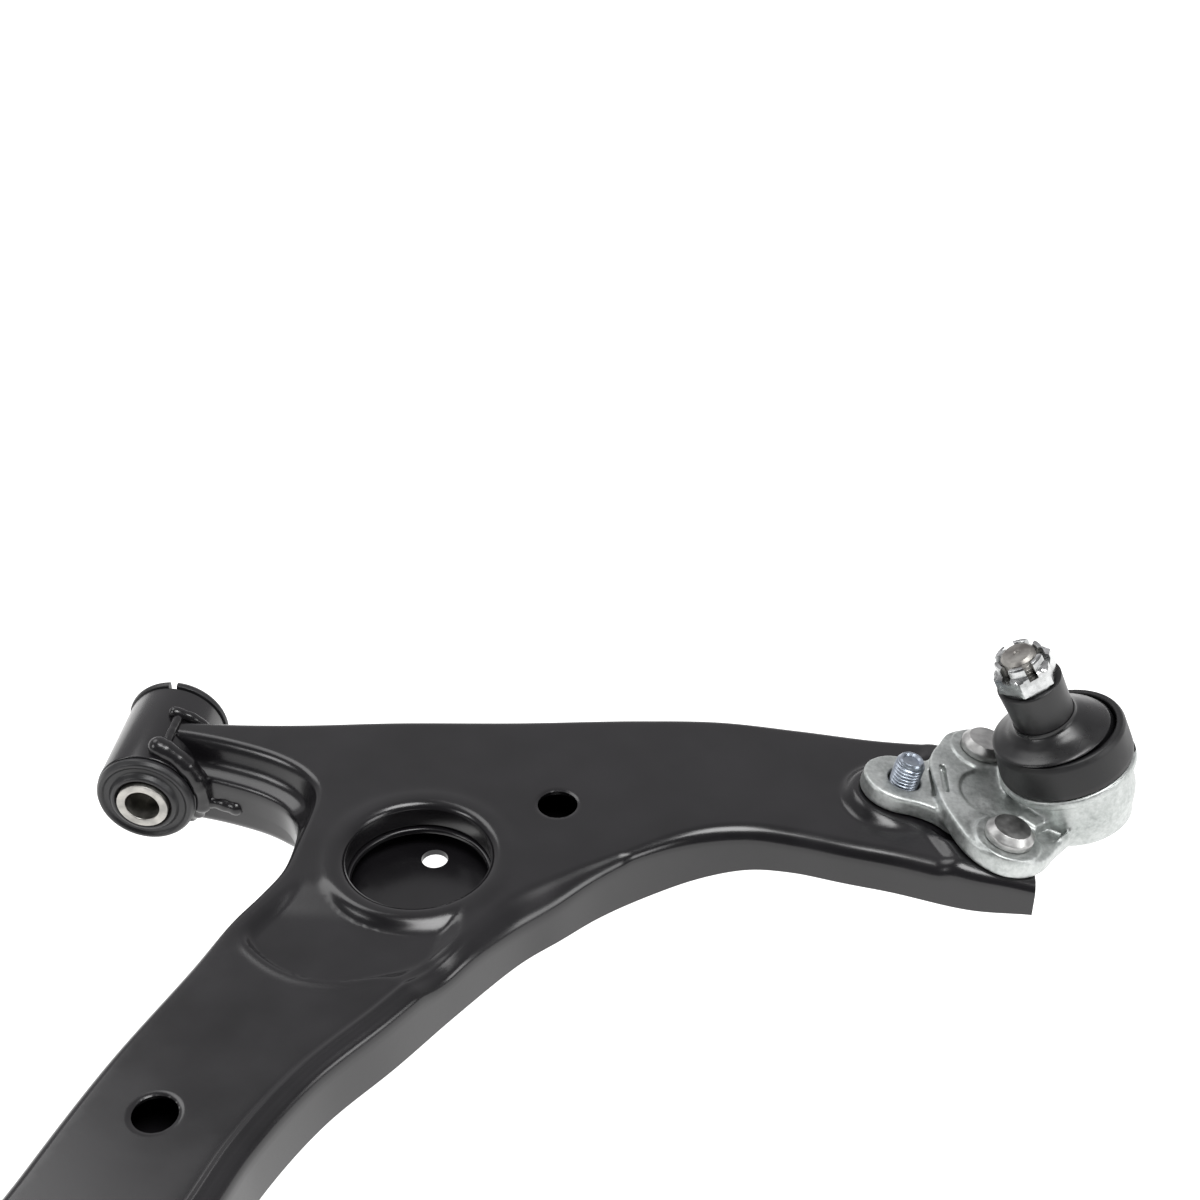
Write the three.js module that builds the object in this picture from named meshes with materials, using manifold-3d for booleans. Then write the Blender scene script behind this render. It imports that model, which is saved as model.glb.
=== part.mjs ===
// Front lower control arm of a small car, left as it comes off the shelf: a pressed-steel
// arm with a rubber bush at each inner corner and a bolted-on ball joint at the outer end.
// Millimetres, +Z up. While it is being built, x runs outboard to the ball joint, y runs
// forward along the front bush, and z = 0 is the flat top face of the pressing.

import * as THREE from 'three';
import { mergeVertices } from 'three/addons/utils/BufferGeometryUtils.js';
import Module from 'manifold-3d';

const wasm = await Module();
wasm.setup();

// ---------------------------------------------------------------- driving dimensions

const GAP = 0.3;                 // left between neighbouring pieces
const PLATE = 3;                 // pressed sheet of the upper shell
const LOWER_PLATE = 2.6;         // pressed sheet of the lower shell
const LEG_DEPTH = 25;            // side wall of the upper shell along the legs
const END_DEPTH = 18;            // the same wall at the ball joint end
const FLOOR_Z = -20;             // top face of the lower shell
const SHORT_LEG_BOTTOM_Z = -41;  // underside of the lower shell beside the front bush
const EDGE_RADIUS = 4.5;         // rolled top edge
const SHOULDER_WIDTH = 11;       // wide rolled shoulder on the near side of the short leg
const SHOULDER_HEIGHT = 12;

const WELL = { x: 124, y: -67, radius: 28.3, depth: 11 };
const FLOOR_HOLE = { x: 126, y: -47.5, radius: 5.3 };
const TOOLING_HOLES = [[173.7, -31.5], [60.3, -202.5]];
const TOOLING_HOLE_RADIUS = 8.1;

const BOLT_RADIUS = 7.2;         // bore of both inner sleeves, for an M14 bolt
const FRONT = { z: -20, tubeRadius: 21, tubeBore: 18.6, length: 46.6 };
const FRONT_SLEEVE = { radius: 10.8, length: 60 };
const REAR = { x: 45, y: -290, z: -13, ringRadius: 36, ringBore: 32.6, height: 38 };
const REAR_SLEEVE = { radius: 13, height: 50 };

const FLANGE = { x: 346, y: -13, z: 5.9, thickness: 8, lobeDrop: 4 };
const FLANGE_TURN = { out: 12, forward: 2.9, heading: 7.5 };
const STUD_OFFSET = 27.5;        // each flange stud from the middle of the flange
const BOLT_U = -35;              // the flange bolt, along and across the flange
const BOLT_V = 6;

const BALL = { x: 377.6, y: -2.8, z: 6.8, radius: 12.7 };
const SOCKET_LEAN = { inboard: 20.5, forward: 3 };
const STUD_LEAN = { inboard: 25.5, forward: -1.5 };
const CUP_BASE = 11.6;           // heights above the ball centre, along the stud
const CUP_RIM = 27;
const NECK_BASE = 36;
const NUT_BASE = 55.5;
const STUD_END = 69.5;

// ---------------------------------------------------------------- materials

function finish(color, roughness, metalness) {
  return new THREE.MeshStandardMaterial({ color, roughness, metalness });
}

const blackPaint = finish(0x2c2b2e, 0.38, 0.1);
const weldPaint = finish(0x27262a, 0.45, 0.1);
const blackRubber = finish(0x1d1d1f, 0.72, 0);
const blackPlastic = finish(0x19191b, 0.5, 0);
const zincSteel = finish(0xa9adac, 0.45, 0.8);
const brightZinc = finish(0xc3c7c9, 0.25, 0.9);
const blueZinc = finish(0xa3abb8, 0.3, 0.9);
const bareSteel = finish(0xb4b1ab, 0.35, 0.9);
const whiteNylon = finish(0xd9d6cc, 0.55, 0);

// ---------------------------------------------------------------- solids

function signedVolume(position, index) {
  const [a, b, c] = [new THREE.Vector3(), new THREE.Vector3(), new THREE.Vector3()];
  let volume = 0;
  for (let i = 0; i < index.length; i += 3) {
    a.fromArray(position, 3 * index[i]);
    b.fromArray(position, 3 * index[i + 1]);
    c.fromArray(position, 3 * index[i + 2]);
    volume += a.dot(b.cross(c)) / 6;
  }
  return volume;
}

// A closed mesh as a solid, without sliver faces and with its faces pointing outwards.
function solid(geometry) {
  const bare = geometry.clone();
  bare.deleteAttribute('normal');
  bare.deleteAttribute('uv');
  const merged = mergeVertices(bare, 1e-3);
  const position = merged.attributes.position.array;
  const index = [];
  for (let i = 0; i < merged.index.count; i += 3) {
    const [a, b, c] = merged.index.array.slice(i, i + 3);
    if (a !== b && b !== c && c !== a) {
      index.push(a, b, c);
    }
  }
  if (signedVolume(position, index) < 0) {
    index.reverse();
  }
  const triVerts = Uint32Array.from(index);
  return new wasm.Manifold(new wasm.Mesh({ numProp: 3, vertProperties: position, triVerts }));
}

function geometryOf(body) {
  const mesh = body.getMesh();
  const geometry = new THREE.BufferGeometry();
  geometry.setAttribute('position', new THREE.BufferAttribute(new Float32Array(mesh.vertProperties), 3));
  geometry.setIndex(new THREE.BufferAttribute(new Uint32Array(mesh.triVerts), 1));
  geometry.computeVertexNormals();
  return geometry;
}

// A solid turned on the z axis from a closed [radius, height] outline.
function turned(outline, segments = 32) {
  const points = outline.map(([r, z]) => new THREE.Vector2(r, z));
  if (THREE.ShapeUtils.isClockWise(points)) {
    points.reverse();
  }
  points.push(points[0].clone());
  return new THREE.LatheGeometry(points, segments).rotateX(Math.PI / 2);
}

function disc(radius, low, high, segments = 24) {
  return turned([[0, low], [radius, low], [radius, high], [0, high]], segments);
}

function ring(outer, inner, low, high, segments = 32) {
  return turned([[inner, low], [outer, low], [outer, high], [inner, high]], segments);
}

function prism(outline, low, high) {
  const shape = new THREE.Shape(outline.map(([x, y]) => new THREE.Vector2(x, y)));
  return new THREE.ExtrudeGeometry(shape, { depth: high - low, bevelEnabled: false }).translate(0, 0, low);
}

function hexagon(acrossFlats) {
  const corner = acrossFlats / Math.sqrt(3);
  const outline = [];
  for (let i = 0; i < 6; i += 1) {
    outline.push([corner * Math.cos((i * Math.PI) / 3), corner * Math.sin((i * Math.PI) / 3)]);
  }
  return outline;
}

function box(lowX, lowY, lowZ, highX, highY, highZ) {
  const geometry = new THREE.BoxGeometry(highX - lowX, highY - lowY, highZ - lowZ);
  return geometry.translate((lowX + highX) / 2, (lowY + highY) / 2, (lowZ + highZ) / 2);
}

// Points joined by a smooth curve, cut into an even number of steps.
function smooth(points, steps, closed = false) {
  const places = points.map(([x, y]) => new THREE.Vector3(x, y, 0));
  const curve = new THREE.CatmullRomCurve3(places, closed, 'centripetal');
  return curve.getSpacedPoints(steps).map((p) => [p.x, p.y]);
}

// ---------------------------------------------------------------- places

const group = new THREE.Group();

function add(parent, name, geometry, material) {
  const mesh = new THREE.Mesh(geometry, material);
  mesh.name = name;
  parent.add(mesh);
  return mesh;
}

// A frame whose z axis leans by two angles, in degrees, from the vertical.
function leaningFrame({ x, y, z }, leanX, leanY, heading) {
  const radians = THREE.MathUtils.degToRad;
  const up = new THREE.Vector3(Math.tan(radians(leanX)), Math.tan(radians(leanY)), 1).normalize();
  const ahead = new THREE.Vector3(Math.cos(radians(heading)), Math.sin(radians(heading)), 0);
  const side = new THREE.Vector3().crossVectors(up, ahead).normalize();
  const along = new THREE.Vector3().crossVectors(side, up);
  const frame = new THREE.Group();
  frame.applyMatrix4(new THREE.Matrix4().makeBasis(along, side, up));
  frame.position.set(x, y, z);
  frame.updateMatrix();
  group.add(frame);
  return frame;
}

const flangeFrame = leaningFrame(FLANGE, FLANGE_TURN.out, FLANGE_TURN.forward, FLANGE_TURN.heading);
const socketFrame = leaningFrame(BALL, -SOCKET_LEAN.inboard, SOCKET_LEAN.forward, 0);
const studFrame = leaningFrame(BALL, -STUD_LEAN.inboard, STUD_LEAN.forward, 0);
const frontFrame = new THREE.Group();
frontFrame.rotation.x = -Math.PI / 2;
frontFrame.position.set(0, 0, FRONT.z);
frontFrame.updateMatrix();
group.add(frontFrame);
const rearFrame = new THREE.Group();
rearFrame.position.set(REAR.x, REAR.y, REAR.z);
rearFrame.updateMatrix();
group.add(rearFrame);

function placed(geometry, frame) {
  return geometry.clone().applyMatrix4(frame.matrix);
}

// ---------------------------------------------------------------- outline of the arm

const FAR_EDGE = [[8, 5], [30, 5.6], [60, 8.6], [100, 14.7], [150, 20.4], [200, 27.5], [235, 30.5],
  [268, 28.4], [302, 25.5], [335, 26], [361, 27]];
const NEAR_EDGE = [[361, -55], [337, -55], [307, -48.5], [289, -45.5], [268, -41.5], [250, -40],
  [231, -44.5], [213, -54], [195, -68], [181, -82.5], [168, -96], [148, -125], [131, -152],
  [111, -181.5], [97, -213],
  [89, -242], [79, -268], [66, -288]];
const INNER_EDGE = [[22, -292], [16, -262], [23.5, -229], [36.5, -181], [53, -134], [61, -109], [68, -93.5],
  [73, -80], [74, -68], [72.5, -54], [68, -42], [61, -32.5], [50, -26], [36, -21.5], [22, -18.5], [8, -17]];

const armOutline = [...smooth(FAR_EDGE, 18), ...smooth(NEAR_EDGE, 30), ...smooth(INNER_EDGE, 28)];

const fade = THREE.MathUtils.smoothstep;

// How far the rolled shoulder of the short leg has taken over from the plain rolled edge.
function shoulder(x, y) {
  return y < -10 ? (1 - fade(x, 58, 76)) * fade(y, -64, -36) : 0;
}

function insetOutline(outline, inset) {
  const count = outline.length;
  return outline.map(([x, y], i) => {
    const [ax, ay] = outline[(i + count - 1) % count];
    const [bx, by] = outline[(i + 1) % count];
    const before = new THREE.Vector2(x - ax, y - ay).normalize();
    const after = new THREE.Vector2(bx - x, by - y).normalize();
    const turn = Math.max(0.5, Math.sqrt((1 + before.dot(after)) / 2));
    const inward = new THREE.Vector2(before.y + after.y, -before.x - after.x).normalize();
    const step = inset(x, y) / turn;
    return [x + inward.x * step, y + inward.y * step];
  });
}

// Rings of points, one below the other, closed by a face at each end.
function lofted(rings) {
  const count = rings[0].length;
  const position = rings.flat(2);
  const index = [];
  for (let r = 0; r + 1 < rings.length; r += 1) {
    for (let i = 0; i < count; i += 1) {
      const j = (i + 1) % count;
      const [a, b] = [r * count + i, r * count + j];
      index.push(a, a + count, b, b, a + count, b + count);
    }
  }
  const last = (rings.length - 1) * count;
  for (const start of [0, last]) {
    const flat = rings[start / count].map(([x, y]) => new THREE.Vector2(x, y));
    const flip = THREE.ShapeUtils.isClockWise(flat) === (start === 0);
    for (const [a, b, c] of THREE.ShapeUtils.triangulateShape(flat, [])) {
      index.push(start + a, start + (flip ? c : b), start + (flip ? b : c));
    }
  }
  const geometry = new THREE.BufferGeometry();
  geometry.setAttribute('position', new THREE.Float32BufferAttribute(position, 3));
  geometry.setIndex(index);
  return geometry;
}

// ---------------------------------------------------------------- upper shell

const EDGE_STEPS = [[1, 0], [0.45, 0.1], [0.12, 0.42], [0, 1]];

function upperWallDepth(x) {
  return LEG_DEPTH - (LEG_DEPTH - END_DEPTH) * fade(x, 205, 275);
}

function upperRing(across, down, thickness) {
  const inset = (x, y) => {
    const width = EDGE_RADIUS + (SHOULDER_WIDTH - EDGE_RADIUS) * shoulder(x, y);
    return across * width + thickness * (1 - 0.6 * across);
  };
  return insetOutline(armOutline, inset).map(([x, y], i) => {
    const [wallX, wallY] = armOutline[i];
    const height = EDGE_RADIUS + (SHOULDER_HEIGHT - EDGE_RADIUS) * shoulder(wallX, wallY);
    const sink = thickness * (0.35 + 0.65 * across);
    return [x, y, -down * height - sink];
  });
}

function wallFoot(thickness) {
  const line = insetOutline(armOutline, () => thickness);
  return line.map(([x, y], i) => [x, y, -upperWallDepth(armOutline[i][0])]);
}

const skin = [
  ...EDGE_STEPS.map(([across, down]) => upperRing(across, down, 0)),
  wallFoot(0),
  wallFoot(PLATE),
  ...EDGE_STEPS.map(([across, down]) => upperRing(across, down, PLATE)).reverse(),
];

const ballNotch = solid(disc(29, -40, 40, 32).translate(382, -3, 0));
const tubeClearance = solid(placed(disc(FRONT.tubeRadius + GAP, -40, 40, 48), frontFrame));
const ringClearance = solid(placed(disc(REAR.ringRadius + GAP, -40, 40, 40), rearFrame));
const openEnd = solid(box(356, -51.5, -40, 370, 23.5, -12));

function flangeHole(u, v, radius) {
  return solid(placed(disc(radius, -60, 20).translate(u, v, 0), flangeFrame));
}

// Outlines of the ball joint flange: its body and the lower lobe that points inboard.
const FLANGE_OUTLINE = [[-14, -33], [-5, -39.5], [5, -39.5], [13.5, -35.5], [23, -25], [34, -12],
  [44, 1], [46.5, 8], [43, 18], [34, 28], [23, 36], [13, 40], [4, 41.5], [-5, 41], [-13, 36.5],
  [-18, 28.5], [-22, 21],
  [-26, 19]];
const LOBE_OUTLINE = [[-18, -14], [-24, -10], [-31, -8], [-40, -7], [-48, -2.5], [-51.5, 6], [-49, 14.5],
  [-41, 20.5], [-32, 21], [-22, 20.5], [-17, 14]];

const fixings = [[0, STUD_OFFSET], [0, -STUD_OFFSET], [BOLT_U, BOLT_V]];
const fixingHoles = fixings.map(([u, v]) => flangeHole(u, v, 5.4));

// The flange rests on a pad bent down at the end of the arm and on a boss under its lobe.
function flangeSeat() {
  const foot = -FLANGE.thickness - GAP;
  const pad = placed(prism(smooth(FLANGE_OUTLINE, 36), foot - PLATE, foot), flangeFrame);
  const boltAt = new THREE.Vector3(BOLT_U, BOLT_V, 0).applyMatrix4(flangeFrame.matrix);
  const boss = disc(13, -2.6, 12, 28).translate(boltAt.x, boltAt.y, 0);
  const inside = prism(insetOutline(armOutline, () => 2), -25, 25);
  return solid(pad).add(solid(boss)).intersect(solid(inside));
}

function aboveFlangeSeat() {
  const foot = -FLANGE.thickness - GAP;
  const overBody = solid(placed(box(-28, -80, foot, 80, 80, 40), flangeFrame));
  const overLobe = solid(placed(box(-60, -15, foot - FLANGE.lobeDrop, -16, 22.6, 40), flangeFrame));
  return overBody.add(overLobe);
}

function upperShell() {
  let shell = solid(lofted(skin)).add(flangeSeat());
  const collar = ring(WELL.radius + PLATE, WELL.radius, -WELL.depth, -1, 48).translate(WELL.x, WELL.y, 0);
  shell = shell.add(solid(collar));
  const holes = [solid(disc(WELL.radius, -30, 10, 48).translate(WELL.x, WELL.y, 0))];
  for (const [x, y] of TOOLING_HOLES) {
    holes.push(solid(disc(TOOLING_HOLE_RADIUS, -10, 10, 24).translate(x, y, 0)));
  }
  const ends = [ballNotch, tubeClearance, ringClearance, openEnd];
  for (const cut of [aboveFlangeSeat(), ...ends, ...holes, ...fixingHoles]) {
    shell = shell.subtract(cut);
  }
  return shell;
}

add(group, 'upper_shell', geometryOf(upperShell()), blackPaint);

// ---------------------------------------------------------------- lower shell

const LOWER_END_X = 286;
const SHORT_LEG_BULGE = [[8, 1.5], [40, 2.2], [64, 3], [80, -3], [86, -16], [80, -27], [69, -33],
  [62.8, -29.4], [51.5, -22.2], [36, -17.4], [22, -14.7], [8, -13.3]];

// A solid tub with a flat bottom and rounded lower edges.
function tub(outline, inset, top, bottom) {
  const ringAt = (extra, z) => insetOutline(outline, () => inset + extra).map(([x, y]) => [x, y, z]);
  const walls = [ringAt(0, top), ringAt(0, bottom + 4)];
  return solid(lofted([...walls, ringAt(1.1, bottom + 1.1), ringAt(4, bottom)]));
}

// A shallow tray standing inside the walls of the upper shell, with a deep bulge under the short leg.
function lowerShell() {
  const outer = PLATE + GAP;
  const inner = outer + LOWER_PLATE;
  let shell = tub(armOutline, outer, FLOOR_Z + 6, FLOOR_Z - LOWER_PLATE);
  shell = shell.add(tub(SHORT_LEG_BULGE, 0, FLOOR_Z + 1, SHORT_LEG_BOTTOM_Z));
  shell = shell.subtract(tub(armOutline, inner, FLOOR_Z + 8, FLOOR_Z));
  shell = shell.subtract(tub(SHORT_LEG_BULGE, LOWER_PLATE, FLOOR_Z + 4, SHORT_LEG_BOTTOM_Z + LOWER_PLATE));
  const beyondEnd = solid(box(LOWER_END_X, -100, -60, 400, 100, 20));
  const floorHole = solid(disc(FLOOR_HOLE.radius, -60, 0).translate(FLOOR_HOLE.x, FLOOR_HOLE.y, 0));
  for (const cut of [beyondEnd, floorHole, tubeClearance, ringClearance]) {
    shell = shell.subtract(cut);
  }
  return shell;
}

add(group, 'lower_shell', geometryOf(lowerShell()), blackPaint);

// ---------------------------------------------------------------- doubler plate at the outer end

const DOUBLER = 3.2;
const doublerTop = -FLANGE.thickness - PLATE - 2 * GAP;

// Everything below a level face and below a face parallel to the flange.
function belowFaces(level, seat) {
  const flat = solid(box(250, -100, -60, 400, 100, level));
  return flat.intersect(solid(placed(box(-120, -90, -60, 90, 90, seat), flangeFrame)));
}

function endDoubler() {
  const outline = [[291, -37], [306, -42], [352, -44], [352, 18], [291, 17]];
  let doubler = solid(prism(outline, -30, 10)).intersect(belowFaces(-PLATE - GAP, doublerTop));
  doubler = doubler.subtract(belowFaces(-PLATE - GAP - DOUBLER, doublerTop - DOUBLER));
  for (const cut of [ballNotch, ...fixingHoles]) {
    doubler = doubler.subtract(cut);
  }
  return doubler;
}

add(group, 'end_doubler', geometryOf(endDoubler()), blackPaint);

// ---------------------------------------------------------------- front bush

// A ring that reaches as far below the middle of its frame as above it.
function collarOf(outer, inner, half, segments) {
  return ring(outer, inner, -half, half, segments);
}

const halfTube = FRONT.length / 2;
const frontTube = collarOf(FRONT.tubeRadius, FRONT.tubeBore, halfTube, 40);
const frontOuterSleeve = collarOf(FRONT.tubeBore - GAP, 17, halfTube - 1, 36);
add(frontFrame, 'front_bush_tube', frontTube, blackPaint);
add(frontFrame, 'front_bush_outer_sleeve', frontOuterSleeve, bareSteel);

function frontRubber() {
  const bore = FRONT_SLEEVE.radius + 0.1;
  const body = 17 - GAP;
  const lipIn = halfTube + GAP;
  const rubber = turned([
    [bore, -28.4], [14.5, -28.8], [18.4, -28.2], [20, -26.4], [20.2, -lipIn], [body, -lipIn],
    [body, lipIn], [21.6, lipIn], [21.8, 25.4], [20.6, 27.2], [14.5, 28.2], [bore, 28],
  ], 32);
  const notch = box(-1.6, -30, lipIn - 1, 1.6, -16.9, 30);
  return solid(rubber).subtract(solid(notch));
}

add(frontFrame, 'front_bush_rubber', geometryOf(frontRubber()), blackRubber);
const frontInnerSleeve = collarOf(FRONT_SLEEVE.radius, BOLT_RADIUS, FRONT_SLEEVE.length / 2, 32);
add(frontFrame, 'front_bush_inner_sleeve', frontInnerSleeve, bareSteel);

// ---------------------------------------------------------------- rear bush

const halfRing = REAR.height / 2;
const rearOuterSleeve = collarOf(REAR.ringBore - GAP, 30.6, halfRing + 1, 40);
add(rearFrame, 'rear_bush_ring', collarOf(REAR.ringRadius, REAR.ringBore, halfRing, 40), blackPaint);
add(rearFrame, 'rear_bush_outer_sleeve', rearOuterSleeve, bareSteel);

// Rubber with a crescent-shaped window on each side, so that it gives fore and aft.
function rearRubber() {
  const half = halfRing + 0.5;
  let rubber = solid(turned([
    [REAR_SLEEVE.radius + 0.1, -half - 2], [18.5, -half - 2], [22, -half], [30.6 - GAP, -half],
    [30.6 - GAP, half], [22, half], [18.5, half + 2], [REAR_SLEEVE.radius + 0.1, half + 2],
  ], 40));
  for (const side of [-1, 1]) {
    const outline = [];
    for (let i = 0; i <= 10; i += 1) {
      const angle = side * (Math.PI / 2) + (i / 10 - 0.5) * 1.9;
      outline.push([27 * Math.cos(angle), 27 * Math.sin(angle)]);
    }
    for (let i = 10; i >= 0; i -= 1) {
      const angle = side * (Math.PI / 2) + (i / 10 - 0.5) * 1.7;
      outline.push([19.6 * Math.cos(angle), 19.6 * Math.sin(angle)]);
    }
    rubber = rubber.subtract(solid(prism(outline, -40, 40)));
  }
  return rubber;
}

add(rearFrame, 'rear_bush_rubber', geometryOf(rearRubber()), blackRubber);
const rearInnerSleeve = collarOf(REAR_SLEEVE.radius, BOLT_RADIUS, REAR_SLEEVE.height / 2, 32);
add(rearFrame, 'rear_bush_inner_sleeve', rearInnerSleeve, bareSteel);

// ---------------------------------------------------------------- ball joint housing

const SOCKET_RADIUS = 17.6;
const HOUSING_RADIUS = 24;
const HOUSING_FOOT = -17;

function housing() {
  const body = [...smooth(FLANGE_OUTLINE, 40), [-20, 0]];
  const slab = solid(placed(prism(body, -FLANGE.thickness, 0), flangeFrame));
  const lobeLow = -FLANGE.thickness - FLANGE.lobeDrop;
  const lobe = solid(placed(prism(smooth(LOBE_OUTLINE, 22), lobeLow, -FLANGE.lobeDrop), flangeFrame));
  const barrel = solid(placed(turned([
    [0, HOUSING_FOOT], [HOUSING_RADIUS - 1.5, HOUSING_FOOT], [HOUSING_RADIUS, HOUSING_FOOT + 2],
    [HOUSING_RADIUS, 6], [27, 8.5], [27, CUP_BASE - GAP], [0, CUP_BASE - GAP],
  ], 36), socketFrame));
  const socket = solid(placed(turned([
    [0, -40], [SOCKET_RADIUS, -40], [SOCKET_RADIUS, 7.4], [13.4, 10], [13.4, 20], [0, 20],
  ], 32), socketFrame));
  let forging = slab.add(lobe).add(barrel).subtract(socket);
  for (const hole of fixingHoles) {
    forging = forging.subtract(hole);
  }
  return forging;
}

add(group, 'ball_joint_housing', geometryOf(housing()), zincSteel);

// ---------------------------------------------------------------- inside the ball joint

function arc(radius, from, to, steps) {
  const points = [];
  for (let i = 0; i <= steps; i += 1) {
    const angle = THREE.MathUtils.degToRad(from + ((to - from) * i) / steps);
    points.push([radius * Math.cos(angle), radius * Math.sin(angle)]);
  }
  return points;
}

const seatRadius = SOCKET_RADIUS - GAP;
add(socketFrame, 'bearing_seat', turned([
  [5, -12.6], [seatRadius - 3, -12.6], [seatRadius, -9], [seatRadius, 6.6], [14, 8.6],
  ...arc(BALL.radius + GAP, 32, -66, 9),
], 28), whiteNylon);
add(socketFrame, 'socket_cover', disc(SOCKET_RADIUS - GAP, -16.4, -13, 32), zincSteel);

function ballStud() {
  return turned([
    ...arc(BALL.radius, -90, 55, 9), [7, 13.5], [7, NECK_BASE - 6], [8.6, NECK_BASE - 3], [8.6, NECK_BASE],
    [6.9, NUT_BASE], [6.9, STUD_END - 1.4], [5.5, STUD_END], [0, STUD_END],
  ], 26);
}

add(studFrame, 'ball_stud', ballStud(), bareSteel);
add(studFrame, 'taper_sleeve', turned([
  [9, NECK_BASE - 1.5], [11.9, NECK_BASE - 1.5], [12.9, NUT_BASE - GAP], [7.4, NUT_BASE - GAP],
  [7.4, NUT_BASE - 1],
], 32), blackPlastic);

function castleNut() {
  const crown = NUT_BASE + 9;
  const top = NUT_BASE + 13;
  let nut = solid(prism(hexagon(21.6), NUT_BASE, crown));
  nut = nut.intersect(solid(turned([
    [0, NUT_BASE], [11.3, NUT_BASE], [12.5, NUT_BASE + 1.2], [12.5, NUT_BASE + 7],
    [10.4, crown + 0.5], [0, crown + 0.5],
  ], 32)));
  nut = nut.add(solid(disc(9.7, crown - 1, top, 32)));
  nut = nut.subtract(solid(disc(7.1, NUT_BASE - 1, top + 1, 28)));
  for (let i = 0; i < 3; i += 1) {
    const slot = box(-14, -1.8, crown - 1.6, 14, 1.8, top + 1).rotateZ((i * Math.PI) / 3 + Math.PI / 6);
    nut = nut.subtract(solid(slot));
  }
  return nut;
}

const nutMesh = add(studFrame, 'castle_nut', geometryOf(castleNut()), brightZinc);
nutMesh.rotation.z = THREE.MathUtils.degToRad(-8);

// ---------------------------------------------------------------- boot and shield of the ball joint

add(socketFrame, 'dust_shield', turned([
  [14.5, CUP_BASE], [26.4, CUP_BASE], [26.4, CUP_BASE + 1.5], [25.6, CUP_RIM], [24, CUP_RIM],
  [24.4, CUP_BASE + 2], [14.5, CUP_BASE + 2],
], 36), blackPlastic);
add(socketFrame, 'boot_lower_ring', ring(24, 22.6, CUP_BASE + 2.4, CUP_BASE + 6, 36), bareSteel);

// One round of the boot, carried from the socket's frame towards the stud's.
function bootRound([radius, height, share]) {
  const points = [];
  for (let i = 0; i < 28; i += 1) {
    const angle = (-2 * Math.PI * i) / 28;
    const local = new THREE.Vector3(radius * Math.cos(angle), radius * Math.sin(angle), height);
    const low = local.clone().applyMatrix4(socketFrame.matrix);
    points.push(low.lerp(local.applyMatrix4(studFrame.matrix), share).toArray());
  }
  return points;
}

function boot() {
  const skinRounds = [
    [22.3, CUP_BASE + 2.4, 0], [22.3, CUP_BASE + 7, 0], [23.3, CUP_BASE + 9, 0], [23.2, CUP_RIM - 3, 0],
    [21.6, CUP_RIM + 1, 0.4], [17, CUP_RIM + 4.6, 0.8], [12.7, NECK_BASE - 3.4, 1], [12.7, NECK_BASE - 2, 1],
  ];
  const hollowRounds = [
    [20.4, CUP_BASE + 2, 0], [20.6, CUP_BASE + 9, 0], [20.6, CUP_RIM - 3, 0], [19, CUP_RIM, 0.4],
    [14.8, CUP_RIM + 2.8, 0.8], [10.6, NECK_BASE - 5.2, 1], [10.6, NECK_BASE, 1],
  ];
  return solid(lofted(skinRounds.map(bootRound))).subtract(solid(lofted(hollowRounds.map(bootRound))));
}

add(group, 'ball_joint_boot', geometryOf(boot()), blackRubber);
add(studFrame, 'boot_upper_ring', ring(10.3, 9, NECK_BASE - 5, NECK_BASE - 2, 28), bareSteel);

// ---------------------------------------------------------------- fasteners through the flange

const plateFace = doublerTop - DOUBLER - 2 * GAP;

function flangeStud() {
  return turned([
    [0, 6.2], [7.4, 6.2], [9.4, 3.2], [9.6, GAP], [5, GAP], [5, plateFace - 11],
    [4.2, plateFace - 12], [0, plateFace - 12],
  ], 24);
}

function flangeNut() {
  const nut = solid(prism(hexagon(15), plateFace - 8.5, plateFace - 1.6));
  const collar = solid(disc(9, plateFace - 2.4, plateFace, 24));
  return nut.add(collar).subtract(solid(disc(5.3, plateFace - 10, plateFace + 1)));
}

const studs = [['outer_front', STUD_OFFSET], ['outer_rear', -STUD_OFFSET]];
for (const [where, v] of studs) {
  add(flangeFrame, `flange_stud_${where}`, flangeStud().translate(0, v, 0), zincSteel);
  add(flangeFrame, `flange_nut_${where}`, geometryOf(flangeNut()).translate(0, v, 0), blueZinc);
}

function flangeBolt() {
  const top = -FLANGE.lobeDrop + 11;
  const seat = -22.8;
  const shank = solid(turned([
    [0, seat - 1], [5, seat - 1], [5, top - 1.2], [4.4, top], [0, top],
  ], 24));
  const head = solid(prism(hexagon(16), seat - 7.5, seat - 1.6));
  return shank.add(head).add(solid(disc(10, seat - 2.4, seat, 24)));
}

add(flangeFrame, 'flange_bolt', geometryOf(flangeBolt()).translate(BOLT_U, BOLT_V, 0), blueZinc);

// ---------------------------------------------------------------- welds

// A row of overlapping weld ripples along a path, from one end of it to the other.
function bead(points, radius) {
  const path = new THREE.CatmullRomCurve3(points.map((p) => new THREE.Vector3(...p)));
  const section = new THREE.Shape();
  section.absarc(0, 0, radius, 0, 2 * Math.PI);
  const sweep = { steps: 8, curveSegments: 5, bevelEnabled: false, extrudePath: path };
  return new THREE.ExtrudeGeometry(section, sweep);
}

const BEAD = 1.9;

// Points beside the front tube, at one angle round it or over a range of angles.
function besideTube(fromDegrees, toDegrees, fromY, toY) {
  const reach = FRONT.tubeRadius + BEAD + GAP;
  const points = [];
  for (let i = 0; i <= 4; i += 1) {
    const angle = THREE.MathUtils.degToRad(fromDegrees + ((toDegrees - fromDegrees) * i) / 4);
    const y = fromY + ((toY - fromY) * i) / 4;
    points.push([reach * Math.cos(angle), y, FRONT.z + reach * Math.sin(angle)]);
  }
  return points;
}

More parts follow.
